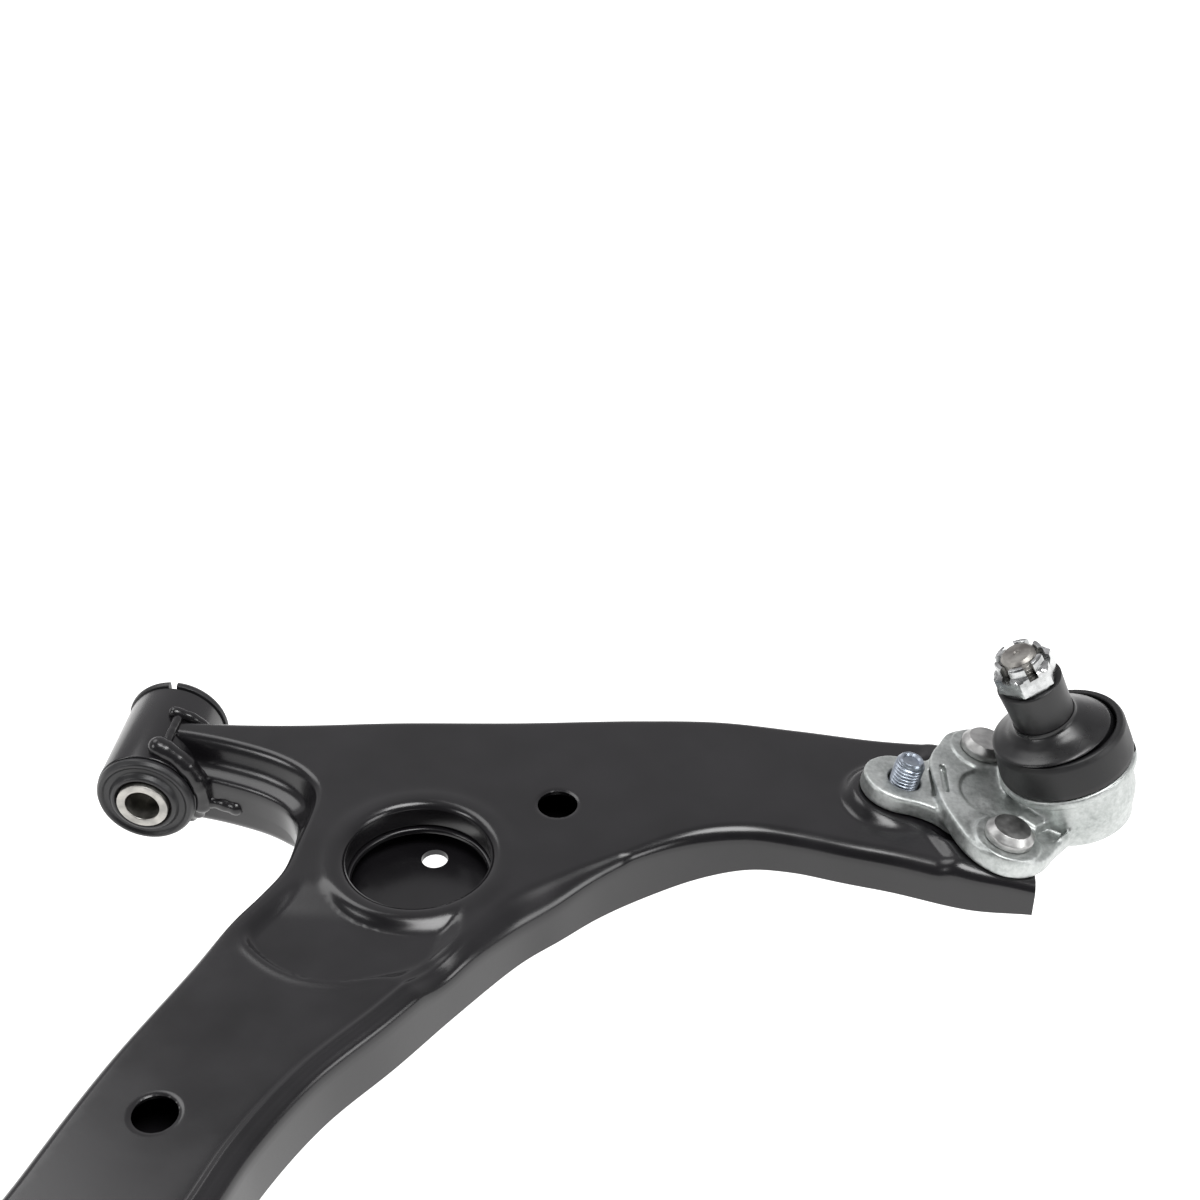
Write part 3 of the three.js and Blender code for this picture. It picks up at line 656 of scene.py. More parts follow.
def edge_profile(kind):
    """Profile of a rolled edge from the foot of the roll to the top face, as (inset, drop)."""
    if kind == "broad":
        angle = np.linspace(0, math.pi / 2, 19)
        return np.column_stack([6.8 * (1 - np.cos(angle)), 6.8 * (1 - np.sin(angle))])
    if kind == "plain":
        angle = np.linspace(0, math.pi / 2, 13)
        return np.column_stack([4.6 * (1 - np.cos(angle)), 4.6 * (1 - np.sin(angle))])
    if kind == "crease":
        return spline([(0, 4.9), (0.35, 3.1), (1.4, 1.35), (3.2, 0.3), (4.9, 0.02), (6.1, -0.12),
            (7.2, -0.55), (8.0, -0.62), (8.8, -0.3), (9.8, 0.12), (11.2, 0.06), (13, 0)], 0.5)
    if kind == "wide":
        return spline([(0, 9.5), (0.5, 7.2), (1.9, 5.2), (4.2, 3.3), (6.8, 1.5), (9.2, 0.4), (11.4, 0.03),
            (13, 0)], 0.7)
    return spline([(0, 15.8), (0.3, 13.8), (1.3, 12.3), (3.6, 11.5), (6.2, 10.6), (8.0, 8.8), (9.2, 6.0),
        (10.4, 3.0), (11.8, 1.0), (13.6, 0.12), (15.2, 0)], 0.7)


def resampled(profile, count):
    run = np.concatenate([[0], np.cumsum(np.linalg.norm(np.diff(profile, axis=0), axis=1))])
    at = np.linspace(0, run[-1], count)
    return np.column_stack([np.interp(at, run, profile[:, k]) for k in range(2)])


def rolled_rings(count=24):
    """Rings of the rolled edge, from the foot of the roll up to where the top face starts."""
    x, y = outline[:, 0], outline[:, 1]
    step = shoulder(x, y)[:, None, None]
    wide = (wide_roll(x, y) * (1 - step[:, 0, 0]))[:, None, None]
    plain_edge = resampled(edge_profile("plain"), count)[None]
    crease = creased(x, y)[:, None, None]
    profile = plain_edge + crease * (resampled(edge_profile("crease"), count)[None] - plain_edge)
    broad = broad_roll(x, y)[:, None, None]
    profile = profile + broad * (resampled(edge_profile("broad"), count)[None] - profile)
    profile = profile + wide * (resampled(edge_profile("wide"), count)[None] - profile)
    profile = profile + step * (resampled(edge_profile("shoulder"), count)[None] - profile)
    rings = []
    for k in range(count):
        inset, drop = profile[:, k, 0], profile[:, k, 1]
        rings.append((outline + outline_inward * inset[:, None], drop))
    return rings


def wall_foot(x):
    return -(25.0 - 7.0 * smooth(x, 205, 275))


def hex_grid(low_x, low_y, high_x, high_y, pitch):
    rows = []
    for j, y in enumerate(np.arange(low_y, high_y, pitch * 0.866)):
        xs = np.arange(low_x + (pitch / 2 if j % 2 else 0), high_x, pitch)
        rows.append(np.column_stack([xs, np.full(len(xs), y)]))
    return np.vstack(rows)


def circle(centre, radius, count):
    turn = np.linspace(0, 2 * math.pi, count, endpoint=False)
    return np.column_stack([centre[0] + radius * np.cos(turn), centre[1] + radius * np.sin(turn)])


def infilled(border, holes, grids, clear):
    """A triangle mesh in plan of the inside of border, with holes, through graded grid points."""
    points = [border]
    edges = [(i, (i + 1) % len(border)) for i in range(len(border))]
    base = len(border)
    for hole in holes:
        points.append(hole)
        edges += [(base + i, base + (i + 1) % len(hole)) for i in range(len(hole))]
        base += len(hole)
    inner = np.vstack(grids)
    keep = inside_distance(inner, border) < -clear
    for hole in holes:
        centre = hole.mean(axis=0)
        radius = np.hypot(*(hole[0] - centre))
        keep &= np.hypot(inner[:, 0] - centre[0], inner[:, 1] - centre[1]) > radius + 0.5
    points.append(inner[keep])
    flat = np.vstack(points)
    spots, _, faces, _, _, _ = delaunay_2d_cdt([Vector(p) for p in flat], edges, [], 0, 1e-4)
    spots = np.array([tuple(s) for s in spots])
    middle = np.array([spots[list(f)].mean(axis=0) for f in faces])
    inside = inside_distance(middle, border) < 0
    for hole in holes:
        centre = hole.mean(axis=0)
        inside &= np.hypot(middle[:, 0] - centre[0],
            middle[:, 1] - centre[1]) > np.hypot(*(hole[0] - centre)) * 0.995
    return spots, [f for f, keep_it in zip(faces, inside) if keep_it]


def graded(fine_areas, coarse_area, coarse):
    """Grid points at a coarse pitch, replaced by a finer pitch inside the fine areas."""
    base = hex_grid(*coarse_area, coarse)
    grids = []
    for low_x, low_y, high_x, high_y, pitch in fine_areas:
        inside = (base[:, 0] > low_x) & (base[:, 0] < high_x) & (base[:, 1] > low_y) & (base[:, 1] < high_y)
        base = base[~inside]
        grids.append(hex_grid(low_x, low_y, high_x, high_y, pitch))
    return [base, *grids]


def shell_solid(name, rings, spots, faces, thickness, material, upward=1.0):
    """A sheet of even thickness from edge rings and an infilled face that share the last ring.

    rings are (n, 3) arrays from the free edge to the face's border; spots start with that border.
    """
    count = len(rings[0])
    base = [*rings[:-1]]
    points = np.vstack([*base, spots])
    offset = len(base) * count
    tris = []
    for r in range(len(rings) - 1):
        for i in range(count):
            j = (i + 1) % count
            tris.append((r * count + i, r * count + j, (r + 1) * count + j, (r + 1) * count + i))
    tris += [tuple(offset + v for v in reversed(f)) for f in faces]
    normal = np.zeros_like(points)
    for f in tris:
        f = list(f)
        a, b, c = points[f[0]], points[f[1]], points[f[2]]
        face_normal = np.cross(b - a, c - a)
        if len(f) == 4:
            face_normal = face_normal + np.cross(c - a, points[f[3]] - a)
        normal[f] += face_normal
    normal /= np.maximum(np.linalg.norm(normal, axis=1), 1e-12)[:, None]
    centre_up = normal[offset + count + 5, 2]
    if centre_up * upward < 0:
        normal = -normal
    inner = points - normal * thickness
    n = len(points)
    seen = {}
    for f in tris:
        for a, b in zip(f, f[1:] + f[:1]):
            seen[(a, b)] = True
    rim = [(a, b) for (a, b) in seen if (b, a) not in seen]
    solid = list(tris) + [tuple(n + v for v in reversed(f)) for f in tris]
    solid += [(b, a, n + a, n + b) for a, b in rim]
    return mesh_object(name, np.vstack([points, inner]), solid, material, 34.0)


# ---------------------------------------------------------------- upper shell


def upper_shell():
    rolls = rolled_rings()
    border = rolls[-1][0]
    well = circle(WELL, WELL_RADIUS, 150)
    holes = [well, *[circle(h, 8.0, 56) for h in TOOLING_HOLES]]
    grids = graded([(58, -142, 160, -84, 1.3), (58, -84, 160, -28, 1.8), (284, -64, 372, 34, 1.4)],
        (0, -300, 376, 40), 2.8)
    for radius in (28.9, 29.6, 30.4, 31.3, 32.4, 33.8, 35.2, 36.4, 37.6, 39.0):
        keep = circle(WELL, radius, 132)
        grids = [g[np.abs(np.hypot(*(g - WELL).T) - radius) > 0.9] if len(g) > 200 else g for g in grids]
        grids.append(keep)
    for hole in TOOLING_HOLES:
        grids = [g[np.hypot(*(g - np.array(hole)).T) > 11.0] if len(g) > 200 else g for g in grids]
        grids += [circle(hole, r, 48) for r in (8.6, 9.3, 10.2)]
    spots, faces = infilled(border, holes, grids, 1.0)
    height = top_height(spots)
    top = np.column_stack([spots, height])
    edge_height = height[: len(border)]
    foot = wall_foot(outline[:, 0])
    drop_at_foot = rolls[0][1]
    rings = []
    for k in range(7):
        z = foot + (edge_height - drop_at_foot - foot) * k / 7
        rings.append(np.column_stack([outline, z]))
    for flat, drop in rolls:
        rings.append(np.column_stack([flat, edge_height - drop]))
    shell = shell_solid("upper_shell", rings, top, faces, PLATE, paint)
    collar = turned("well_collar", [(WELL_RADIUS, -1.8), (WELL_RADIUS, -10.4, 0.6),
        (WELL_RADIUS + 2.6, -10.4, 0.6), (WELL_RADIUS + 2.6, -2.4)], Place([*WELL, 0], [0, 0, 1], [1, 0, 0]),
                                    paint, 150)
    inner_ring = turned("well_inner_ring", [(26.9, -13.6, 0.5), (WELL_RADIUS + 3.4, -13.6, 0.5),
        (WELL_RADIUS + 3.4, -11.2, 0.5), (26.9, -11.2, 0.9)], Place([*WELL, 0], [0, 0, 1], [1, 0, 0]),
                                            paint, 150)
    fit(inner_ring, "arm", "black_paint")
    cutters = [
        rod("c1", 21.15, -40, 40, FRONT),
        rod("c2", 36.15, -40, 40, REAR),
        rod("c3", 29, -40, 40, Place([382, -3, 0], [0, 0, 1], [1, 0, 0])),
        block("c4", (361, -80, -60), (440, 60, 40)),
        block("c8", (-60, -400, -60), (160, -300, 40)),
        block("c5", (354, -51.4, -60), (365, 23.4, -9)),
        block("c6", (-90, -60, -60), (4, 60, 40)),
        *[rod("c7", 5.4, -60, 20, Place(FLANGE.out([u, v, 0]), FLANGE.axes[2], FLANGE.axes[0]), 40)
          for u, v in ((0, STUD_V), (0, -STUD_V), BOLT_UV)],
    ]
    cut(shell, cutters, 34)
    fit(shell, "arm", "black_paint", "upper_shell")
    fit(collar, "arm", "black_paint")


upper_shell()


# ---------------------------------------------------------------- lower shell


def bulge(x, y):
    return (1 - smooth(x, 58, 92)) * smooth(y, -60, -34)


def lower_shell():
    inset_line = outline + outline_inward * 3.3
    x, y = inset_line[:, 0], inset_line[:, 1]
    depth = -22.6 - 18.2 * bulge(x, y)
    radius = (4.0 + 1.6 * bulge(x, y)) * (0.25 + 0.75 * smooth(x, -30, -6))
    rings = []
    for z in (-13.4, -16.0, -18.4):
        rings.append(np.column_stack([inset_line, np.full(len(x), z)]))
    lower_start = depth + radius
    for t in (0.5, 0.999):
        rings.append(np.column_stack([inset_line, -18.4 + (lower_start + 18.4) * t]))
    for angle in np.linspace(0.2, math.pi / 2, 7):
        flat = inset_line + outline_inward * (radius * (1 - math.cos(angle)))[:, None]
        rings.append(np.column_stack([flat, depth + radius * (1 - math.sin(angle))]))
    border = rings[-1][:, :2]
    floor_hole = circle((126, -47.5), 5.3, 40)
    grids = graded([(2, -62, 100, 20, 2.4)], (0, -300, 376, 40), 4.5)
    spots, faces = infilled(border, [floor_hole], grids, 1.4)
    z = -22.6 - 18.2 * bulge(spots[:, 0], spots[:, 1])
    stiffener = np.abs(inside_distance(spots, border) + 17)
    z += 0.9 * smooth(stiffener, 6, 1) * (spots[:, 0] > 96)
    z[: len(border)] = rings[-1][:, 2]
    shell = shell_solid("lower_shell", rings, np.column_stack([spots, z]), faces, 2.6, paint, upward=-1.0)
    cut(shell, [
        rod("c1", 21.15, -40, 40, FRONT),
        rod("c2", 36.15, -40, 40, REAR),
        block("c3", (286, -80, -60), (440, 60, 40)),
        block("c4", (-90, -60, -60), (6, 60, 40)),
        block("c5", (-60, -400, -60), (160, -300, 40)),
    ], 34)
    fit(shell, "arm", "black_paint", "lower_shell")


lower_shell()


# ---------------------------------------------------------------- bushes


def front_bush():
    turned_part("arm", "black_paint", "front_bush_tube", [(21, -23.3, 0.7), (21, 23.3, 0.7),
        (18.7, 23.3, 0.4), (18.7, -23.3, 0.4)], FRONT, paint, 128)
    turned_part("arm", "bare_steel", "front_bush_outer_sleeve", [(18.4, -22, 0.3), (18.4, 22, 0.3),
        (17.2, 22, 0.3), (17.2, -22, 0.3)], FRONT, front_steel, 96)
    rubber = turned("front_bush_rubber", [
        (10.9, -26.4, 0.5), (12.3, -28.9, 0.9), (13.6, -28.5, 1.2), (14.9, -26.2, 1.4), (17.0, -25.9, 1.2),
        (18.2, -27.2, 0.9), (19.5, -27.0, 1.3), (20.6, -25.2, 1.2), (20.7, -23.7, 0.4), (18.4, -23.6),
        (17.0, -22), (17.0, 22), (18.4, 23.6), (21.6, 23.7, 0.4), (22.0, 25.4, 0.8), (21.2, 27.2, 0.9),
        (18.0, 27.2, 0.8), (16.6, 25.4, 1.0), (14.6, 26.4, 1.0), (13.2, 28.4, 0.9), (10.9, 27.4, 0.4)],
        FRONT, bush_rubber, 128)
    cutter = block("c1", (-1.7, 22.6, -6), (1.7, 32, 10))
    cut(rubber, [cutter])
    fit(rubber, "arm", "black_rubber", "front_bush_rubber")
    turned_part("front_sleeve", "bare_steel", "front_bush_inner_sleeve", [(10.8, -30, 0.5), (10.8, 30, 0.5),
        (7.2, 30, 0.6), (7.2, -30, 0.6)], FRONT, front_steel, 96)


front_bush()


def rear_bush():
    turned_part("arm", "black_paint", "rear_bush_ring", [(36, -19, 0.8), (36, 19, 0.8), (32.7, 19, 0.5),
        (32.7, -19, 0.5)], REAR, paint, 144)
    turned_part("arm", "bare_steel", "rear_bush_outer_sleeve", [(32.3, -20, 0.4), (32.3, 20, 0.4),
        (30.7, 20, 0.3), (30.7, -20, 0.3)], REAR, rear_steel, 128)
    collar = turned("rear_bush_outer_rubber", [
        (30.3, -19.4, 0.8), (30.3, 19.4, 0.8), (28.4, 19.9, 0.8), (26.4, 19.2, 1.2), (26.2, -19.2, 1.2),
        (28.4, -19.9, 0.8)], REAR, bush_rubber, 128)
    fit(collar, "arm", "black_rubber")
    hub = turned("rear_bush_hub_rubber", [
        (13.2, -22.6, 0.5), (16.4, -22.6, 1.2), (19.4, -19.4, 1.6), (19.8, 0, 6), (19.4, 19.4, 1.6),
        (16.4, 22.6, 1.2), (13.2, 22.6, 0.5)], REAR, bush_rubber, 96)
    fit(hub, "rear_sleeve", "black_rubber")
    for name, sign in (("rear_bush_web_outboard", 1.0), ("rear_bush_web_inboard", -1.0)):
        rounds = []
        for t in np.linspace(0, 1, 13):
            x = sign * (18.6 + (26.9 - 18.6) * t)
            waist = 1 - 0.16 * math.sin(math.pi * t)
            half_y, half_z = 11.5 * waist + 2.2 * t, 18.2 * waist
            turn = np.linspace(0, 2 * math.pi, 48, endpoint=False)
            c, s = np.cos(turn), np.sin(turn)
            bow = np.sign(c) * np.abs(c) ** 0.5
            rise = np.sign(s) * np.abs(s) ** 0.5
            rounds.append(np.column_stack([np.full(48, x), half_y * bow, half_z * rise]))
        faces = []
        for i in range(len(rounds) - 1):
            for j in range(48):
                k = (j + 1) % 48
                faces.append((i * 48 + j, i * 48 + k, (i + 1) * 48 + k, (i + 1) * 48 + j))
        faces.append(tuple(range(48)))
        faces.append(tuple((len(rounds) - 1) * 48 + j for j in range(48)))
        web = mesh_object(name, REAR.out(np.vstack(rounds)), faces, bush_rubber)
        start = tuple(REAR.out([sign * 27.5, 0, 0]) * MM + ORIGIN)
        end = tuple(REAR.out([sign * 18.0, 0, 0]) * MM + ORIGIN)
        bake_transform(web)
        if sign > 0:
            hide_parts("rear_bush_rubber")
    turned_part("rear_sleeve", "bare_steel", "rear_bush_inner_sleeve", [(13, -25, 0.6), (13, 25, 0.6),
        (7.2, 25, 0.8), (7.2, -25, 0.8)], REAR, rear_steel, 96)


rear_bush()


# ---------------------------------------------------------------- ball joint housing and flange


def rounded_slab(d2, height, low, high, radius):
    """Distance field of a plate from its plan distance, with rounded edges."""
    dz = np.abs(height - (low + high) / 2) - (high - low) / 2
    a, b = d2 + radius, dz + radius
    return np.hypot(np.maximum(a, 0), np.maximum(b, 0)) + np.minimum(np.maximum(a, b), 0) - radius


def housing_field(p):
    u, v, w = p[:, 0], p[:, 1], p[:, 2]
    flat = p[:, :2]
    d_body = inside_distance(flat, BODY_LINE)
    d_lobe = inside_distance(flat, LOBE_LINE)
    body = rounded_slab(d_body, w, -8, 0, 1.6)
    lobe = rounded_slab(d_lobe, w, -12, -4, 1.6)
    field = soft_min(body, lobe, 2.2)
    # countersink round the bolt
    from_bolt = np.hypot(u - BOLT_UV[0], v - BOLT_UV[1])
    field = np.maximum(field, (7.4 - from_bolt + (w + 4.0)) * 0.7)
    # raised pads round the studs, and a collar round the ball joint
    for side in (-1, 1):
        from_stud = np.hypot(u, v - side * STUD_V)
        pad = rounded_slab(from_stud - 13.4, w, -6, 1.2, 0.9)
        field = soft_min(field, pad, 1.0)
    q = SOCKET.into(FLANGE.out(p))
    r, h = np.hypot(q[:, 0], q[:, 1]), q[:, 2]
    collar = rounded_slab(r - 31.5, w, -6, 1.4, 1.1)
    field = soft_min(field, np.maximum(collar, d_body + 1.5), 1.2)
    # a pocket on each side between the pad, the collar and the straight edge, and a shallow one between
    for side in (-1, 1):
        corner = POCKET * np.array([1, -side])
        pocket = inside_distance(flat, corner if side < 0 else corner[::-1])
        field = soft_max(field, -np.maximum(pocket - 0.35 * (w + 2.4), -2.4 - w), 0.8)
    middle = np.hypot(u + 1, v * 0.9) - 12.5
    field = soft_max(field, -np.maximum(middle - 0.8 * (w + 1.0), -1.0 - w), 1.0)
    # the barrel that holds the ball, flared under the shield
    barrel = rounded_slab(r - BARREL_RADIUS + BARREL_TAPER * smooth(h, -3, -17), h, -17, 8, 1.4)
    flare = rounded_slab(r - 27.0, h, 7.2, 11.3, 1.3)
    field = soft_min(field, soft_min(barrel, flare, 3.0), 3.0)
    # two shallow marks across the step down to the lobe
    for start in (-23.4, -20.0):
        t = np.clip((v + 2) / 15, 0, 1)
        line = np.hypot(u - start - 0.8 * t, v - (-2 + 15 * t))
        groove = np.hypot(line, (w + 1.2 + 0.55 * (-20.0 - start)) * 0.8) - 1.2
        field = soft_max(field, -groove, 1.0)
    # bores
    for hu, hv, radius in ((0, STUD_V, 5.3), (0, -STUD_V, 5.3), (*BOLT_UV, 6.7)):
        field = np.maximum(field, radius - np.hypot(u - hu, v - hv))
    bore = np.maximum(r - 17.5, h - 7.4)
    mouth = np.maximum(r - 13.4, -(h - 5))
    field = np.maximum(field, -np.minimum(bore, mouth))
    return field


def housing():
    step = 0.66
    body = cast("ball_joint_housing", housing_field, (-53, -43, -36), (76, 44, 30), step, FLANGE, forged, 55)
    fit(body, "arm", "zinc_forging", "ball_joint_housing")


housing()


# ---------------------------------------------------------------- inside and round the ball


def arc(radius, start, end, steps):
    turn = np.radians(np.linspace(start, end, steps + 1))
    return [(radius * math.cos(a), radius * math.sin(a)) for a in turn]


def ball_joint():
    turned_part("joint_seat", "white_nylon", "bearing_seat", [(5, -12.6, 0.5), (14.2, -12.6, 1),
        (17.3, -9, 1), (17.3, 6.6, 1), (14, 8.6, 0.5), *arc(13.0, 32, -66, 24)], SOCKET, nylon, 96)
    turned_part("arm", "zinc_forging", "socket_cover", [(0, -15.0), (9, -15.2, 3), (12.5, -16.4, 1.2),
        (17.2, -16.4, 0.8), (17.2, -13, 0.4), (0, -13)], SOCKET, forged, 96)
    turned_part("ball_stud", "bare_steel", "ball_stud", [*arc(12.7, -90, 55, 40), (7, 13.5, 2), (7, 30, 1),
        (8.6, 33, 1), (8.6, 36, 0.5), (6.9, 55.5, 0.3), (6.9, 68.3, 0.5), (5.6, 69.5, 0.3), (1.5, 69.5, 0.2),
        (1.1, 69.0), (0, 68.9)], STUD, stud_steel, 96)
    turned_part("ball_stud", "black_plastic", "taper_sleeve", [(9.0, 34.5, 0.3), (11.9, 34.5, 0.5),
        (12.3, 44, 30), (12.9, 55.2, 0.5), (7.4, 55.2, 0.3), (7.4, 53.5, 0.3)], STUD, sleeve_plastic, 96)


ball_joint()


def hex_reach(across_flats, turn, limit, start=0.0):
    step = math.pi / 3
    off = np.mod(turn - start, step) - step / 2
    return np.minimum(across_flats / 2 / np.cos(off), limit)


def nut_blank(name, outline_points, across_flats, place, material, chamfer, start=0.0, bore=0.0):
    """A hexagon with turned chamfers: chamfer gives the turned radius limit at each height."""

    def reach(turn, r, z):
        if r <= bore + 0.7:
            return np.full(len(turn), r)
        return np.minimum(hex_reach(across_flats, turn, chamfer(z), start), r)

    return turned(name, outline_points, place, material, 144, reach, 30)


def threads(name, place, material, radius, low, high, pitch, depth, segments=64):
    """A threaded sleeve: a helical ridge round a core, closed at both ends."""
    per_turn = 8
    rows = int(round((high - low) / pitch * per_turn)) + 1
    turn = np.linspace(0, 2 * math.pi, segments, endpoint=False)
    rounds = []
    for i in range(rows):
        z = low + (high - low) * i / (rows - 1)
        phase = (z / pitch - turn / (2 * math.pi)) % 1.0
        ridge = 1 - np.abs(2 * phase - 1) * 2
        reach = radius - depth / 2 + depth / 2 * np.clip(ridge * 1.25, -1, 1)
        ease = min(1.0, min(z - low, high - z) / (pitch * 0.8))
        reach = (radius - depth) + (reach - (radius - depth)) * ease
        rounds.append(np.column_stack([reach * np.cos(turn), reach * np.sin(turn), np.full(segments, z)]))
    faces = []
    for i in range(rows - 1):
        for j in range(segments):
            k = (j + 1) % segments
            faces.append((i * segments + j, i * segments + k, (i + 1) * segments + k, (i + 1) * segments + j))
    faces.append(tuple(range(segments)))
    faces.append(tuple((rows - 1) * segments + j for j in range(segments)))
    return mesh_object(name, place.out(np.vstack(rounds)), faces, material, 60)


def castle_nut():
    low, crown, top = 55.5, 64.6, 68.6
    outline_points = [(7.1, low, 0.4), (14, low, 0.2), (14, low + 1.0), (14, low + 2), (14, low + 4),
        (14, low + 6), (14, crown - 1.6), (14, crown - 1.0), (14, crown - 0.5), (14, crown),
        (10.2, crown + 0.1, 0.5), (9.9, top - 0.8, 0.3), (9.2, top, 0.2), (7.9, top, 0.4),
        (7.1, top - 1.0, 0.3)]

    def chamfer(z):
        return min(11.0 + max(0.0, z - low) * 1.6, 12.55, 9.7 + max(0.0, crown + 0.4 - z) * 1.9)

    nut = nut_blank("castle_nut", outline_points, 21.6, STUD, bright_zinc, chamfer, math.radians(22), 7.1)
    cutters = []
    for i in range(3):
        angle = math.radians(22 + 30 + 60 * i)
        ahead = math.cos(angle) * STUD.axes[0] + math.sin(angle) * STUD.axes[1]
        slot_place = Place(STUD.origin, STUD.axes[2], ahead)
        cutters.append(block("c", (-15, -1.9, crown - 2.2), (15, 1.9, top + 2), slot_place))
    cut(nut, cutters, 30)
    step = nut.modifiers.new("edges", "BEVEL")
    step.width = 0.00022
    step.segments = 2
    step.limit_method = "ANGLE"
    step.angle_limit = math.radians(40)
    step.harden_normals = True
    fit(nut, "ball_stud", "bright_zinc", "castle_nut")
    thread = threads("stud_thread", STUD, stud_steel, 7.05, 55.8, 68.4, 1.5, 0.8)
    fit(thread, "ball_stud", "bare_steel")


castle_nut()


def shield_and_boot():
    turned_part("arm", "black_plastic", "dust_shield", [(14.5, 11.6, 0.3), (26.6, 11.6, 0.9), (26.7, 14, 2),
        (26.2, 25.0, 3), (25.2, 27.4, 1.4), (22.9, 27.2, 1.0), (22.6, 24.6, 1.0), (24.4, 22.6, 1.0),
        (24.6, 14.6, 1.5), (14.5, 13.6, 0.3)], SOCKET, cup_plastic, 144)
    turned_part("arm", "bare_steel", "boot_lower_ring", [(24, 14.2, 0.4), (24, 17.4, 0.4),
        (22.7, 17.4, 0.4), (22.7, 14.2, 0.4)], SOCKET, front_steel, 96)
    # The boot: fuller on the side the stud leans to, and drawn straight on the other side.
    segments = 128
    turn = np.linspace(0, 2 * math.pi, segments, endpoint=False)
    toward = STUD.axes[2] @ SOCKET.axes[0], STUD.axes[2] @ SOCKET.axes[1]
    lean = math.atan2(toward[1], toward[0])
    full = 0.5 + 0.5 * np.cos(turn - lean)
    stations = [  # height, radius on the drawn side, radius on the full side, share of the stud's frame
        (14.0, 22.0, 22.0, 0.0), (18.0, 22.3, 22.3, 0.0), (22.0, 22.2, 22.2, 0.0), (25.2, 21.9, 22.2, 0.0),
        (26.8, 21.5, 22.5, 0.02), (27.8, 20.9, 23.6, 0.06), (28.3, 20.5, 25.4, 0.09),
        (28.9, 20.0, 26.1, 0.14), (29.7, 19.0, 25.2, 0.22), (30.5, 18.1, 23.4, 0.33),
        (31.6, 16.8, 21.0, 0.47), (32.9, 15.4, 18.2, 0.66), (34.2, 14.0, 15.8, 0.85),
        (35.2, 13.1, 13.9, 0.97), (35.9, 12.7, 12.9, 1.0), (36.6, 12.6, 12.6, 1.0), (37.6, 12.5, 12.5, 1.0)]
    table = np.array(stations)
    fine_table = spline(table, 0.45)
    rounds = []
    for height, drawn, fuller, share in fine_table:
        reach = drawn + (fuller - drawn) * full
        local = np.column_stack([reach * np.cos(turn), reach * np.sin(turn), np.full(segments, height)])
        rounds.append(SOCKET.out(local) * (1 - share) + STUD.out(local) * share)
    rounds = np.array(rounds)
    thickness = 1.5
    centre_line = rounds.mean(axis=1, keepdims=True)
    hollow = rounds - thickness * (rounds - centre_line) / np.linalg.norm(rounds - centre_line, axis=2,
        keepdims=True)
    count = len(rounds)
    points = np.vstack([rounds.reshape(-1, 3), hollow.reshape(-1, 3)])
    base = count * segments
    faces = []
    for i in range(count - 1):
        for j in range(segments):
            k = (j + 1) % segments
            a, b = i * segments, (i + 1) * segments
            faces.append((a + j, a + k, b + k, b + j))
            faces.append((base + a + j, base + b + j, base + b + k, base + a + k))
    for j in range(segments):
        k = (j + 1) % segments
        faces.append((j, base + j, base + k, k))
        last = (count - 1) * segments
        faces.append((last + j, last + k, base + last + k, base + last + j))
    boot = mesh_object("ball_joint_boot", points, faces, boot_rubber, 50)
    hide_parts("ball_joint_boot")
    start = tuple(SOCKET.out([0, 0, 29.0]) * MM + ORIGIN)
    end = tuple(STUD.out([0, 0, 34.8]) * MM + ORIGIN)
    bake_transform(boot)
    turned_part("boot_ring", "bare_steel", "boot_upper_ring", [(10.4, 31.2, 0.4), (10.4, 34.0, 0.4),
        (9.2, 34.0, 0.4), (9.2, 31.2, 0.4)], STUD, front_steel, 64)


shield_and_boot()


# ---------------------------------------------------------------- fasteners through the flange

PLATE_FACE = -8 - 3 - 0.6 - 3.2 - 0.6


def at_flange(u, v):
    return Place(FLANGE.out([u, v, 0]), FLANGE.axes[2], FLANGE.axes[0])


def flange_fasteners():
    for name, v in (("outer_front", STUD_V), ("outer_rear", -STUD_V)):
        place = at_flange(0, v)
        turned_part("arm", "zinc_forging", f"flange_stud_{name}", [(0, 6.7), (2, 6.75), (7.3, 6.75, 0.35),
            (9.3, 4.4, 0.5), (9.65, 3.9, 0.4), (9.65, 1.5, 0.3), (5, 1.4), (5, PLATE_FACE - 11),
            (4.2, PLATE_FACE - 12, 0.3), (0, PLATE_FACE - 12)], place,
                                              head_zinc, 96)
        thread = threads(f"flange_thread_{name}", place, head_zinc, 5.2, PLATE_FACE - 11.2,
            PLATE_FACE - 7.6, 1.25, 0.6)
        fit(thread, "arm", "zinc_forging")
        hex_nut(f"flange_nut_{name}", place, PLATE_FACE, 15, 9, f"flange_nut_{name}")
    place = at_flange(*BOLT_UV)
    top = 6.2
    turned_part("arm", "blue_zinc", "flange_bolt", [(0, top - 1.5), (2.6, top - 1.4, 0.5),
        (3.7, top - 0.1, 0.3), (4.5, top, 0.3), (5.2, top - 0.9, 0.3), (5.2, -14), (5, -14), (5, -23.2),
        (0, -23.2)], place, blue_zinc, 72)
    thread = threads("flange_bolt_thread", place, blue_zinc, 5.95, -10.5, top - 0.9, 1.5, 0.95)
    fit(thread, "arm", "blue_zinc")
    hex_nut("flange_bolt_head", place, -22.8, 16, 10, None)


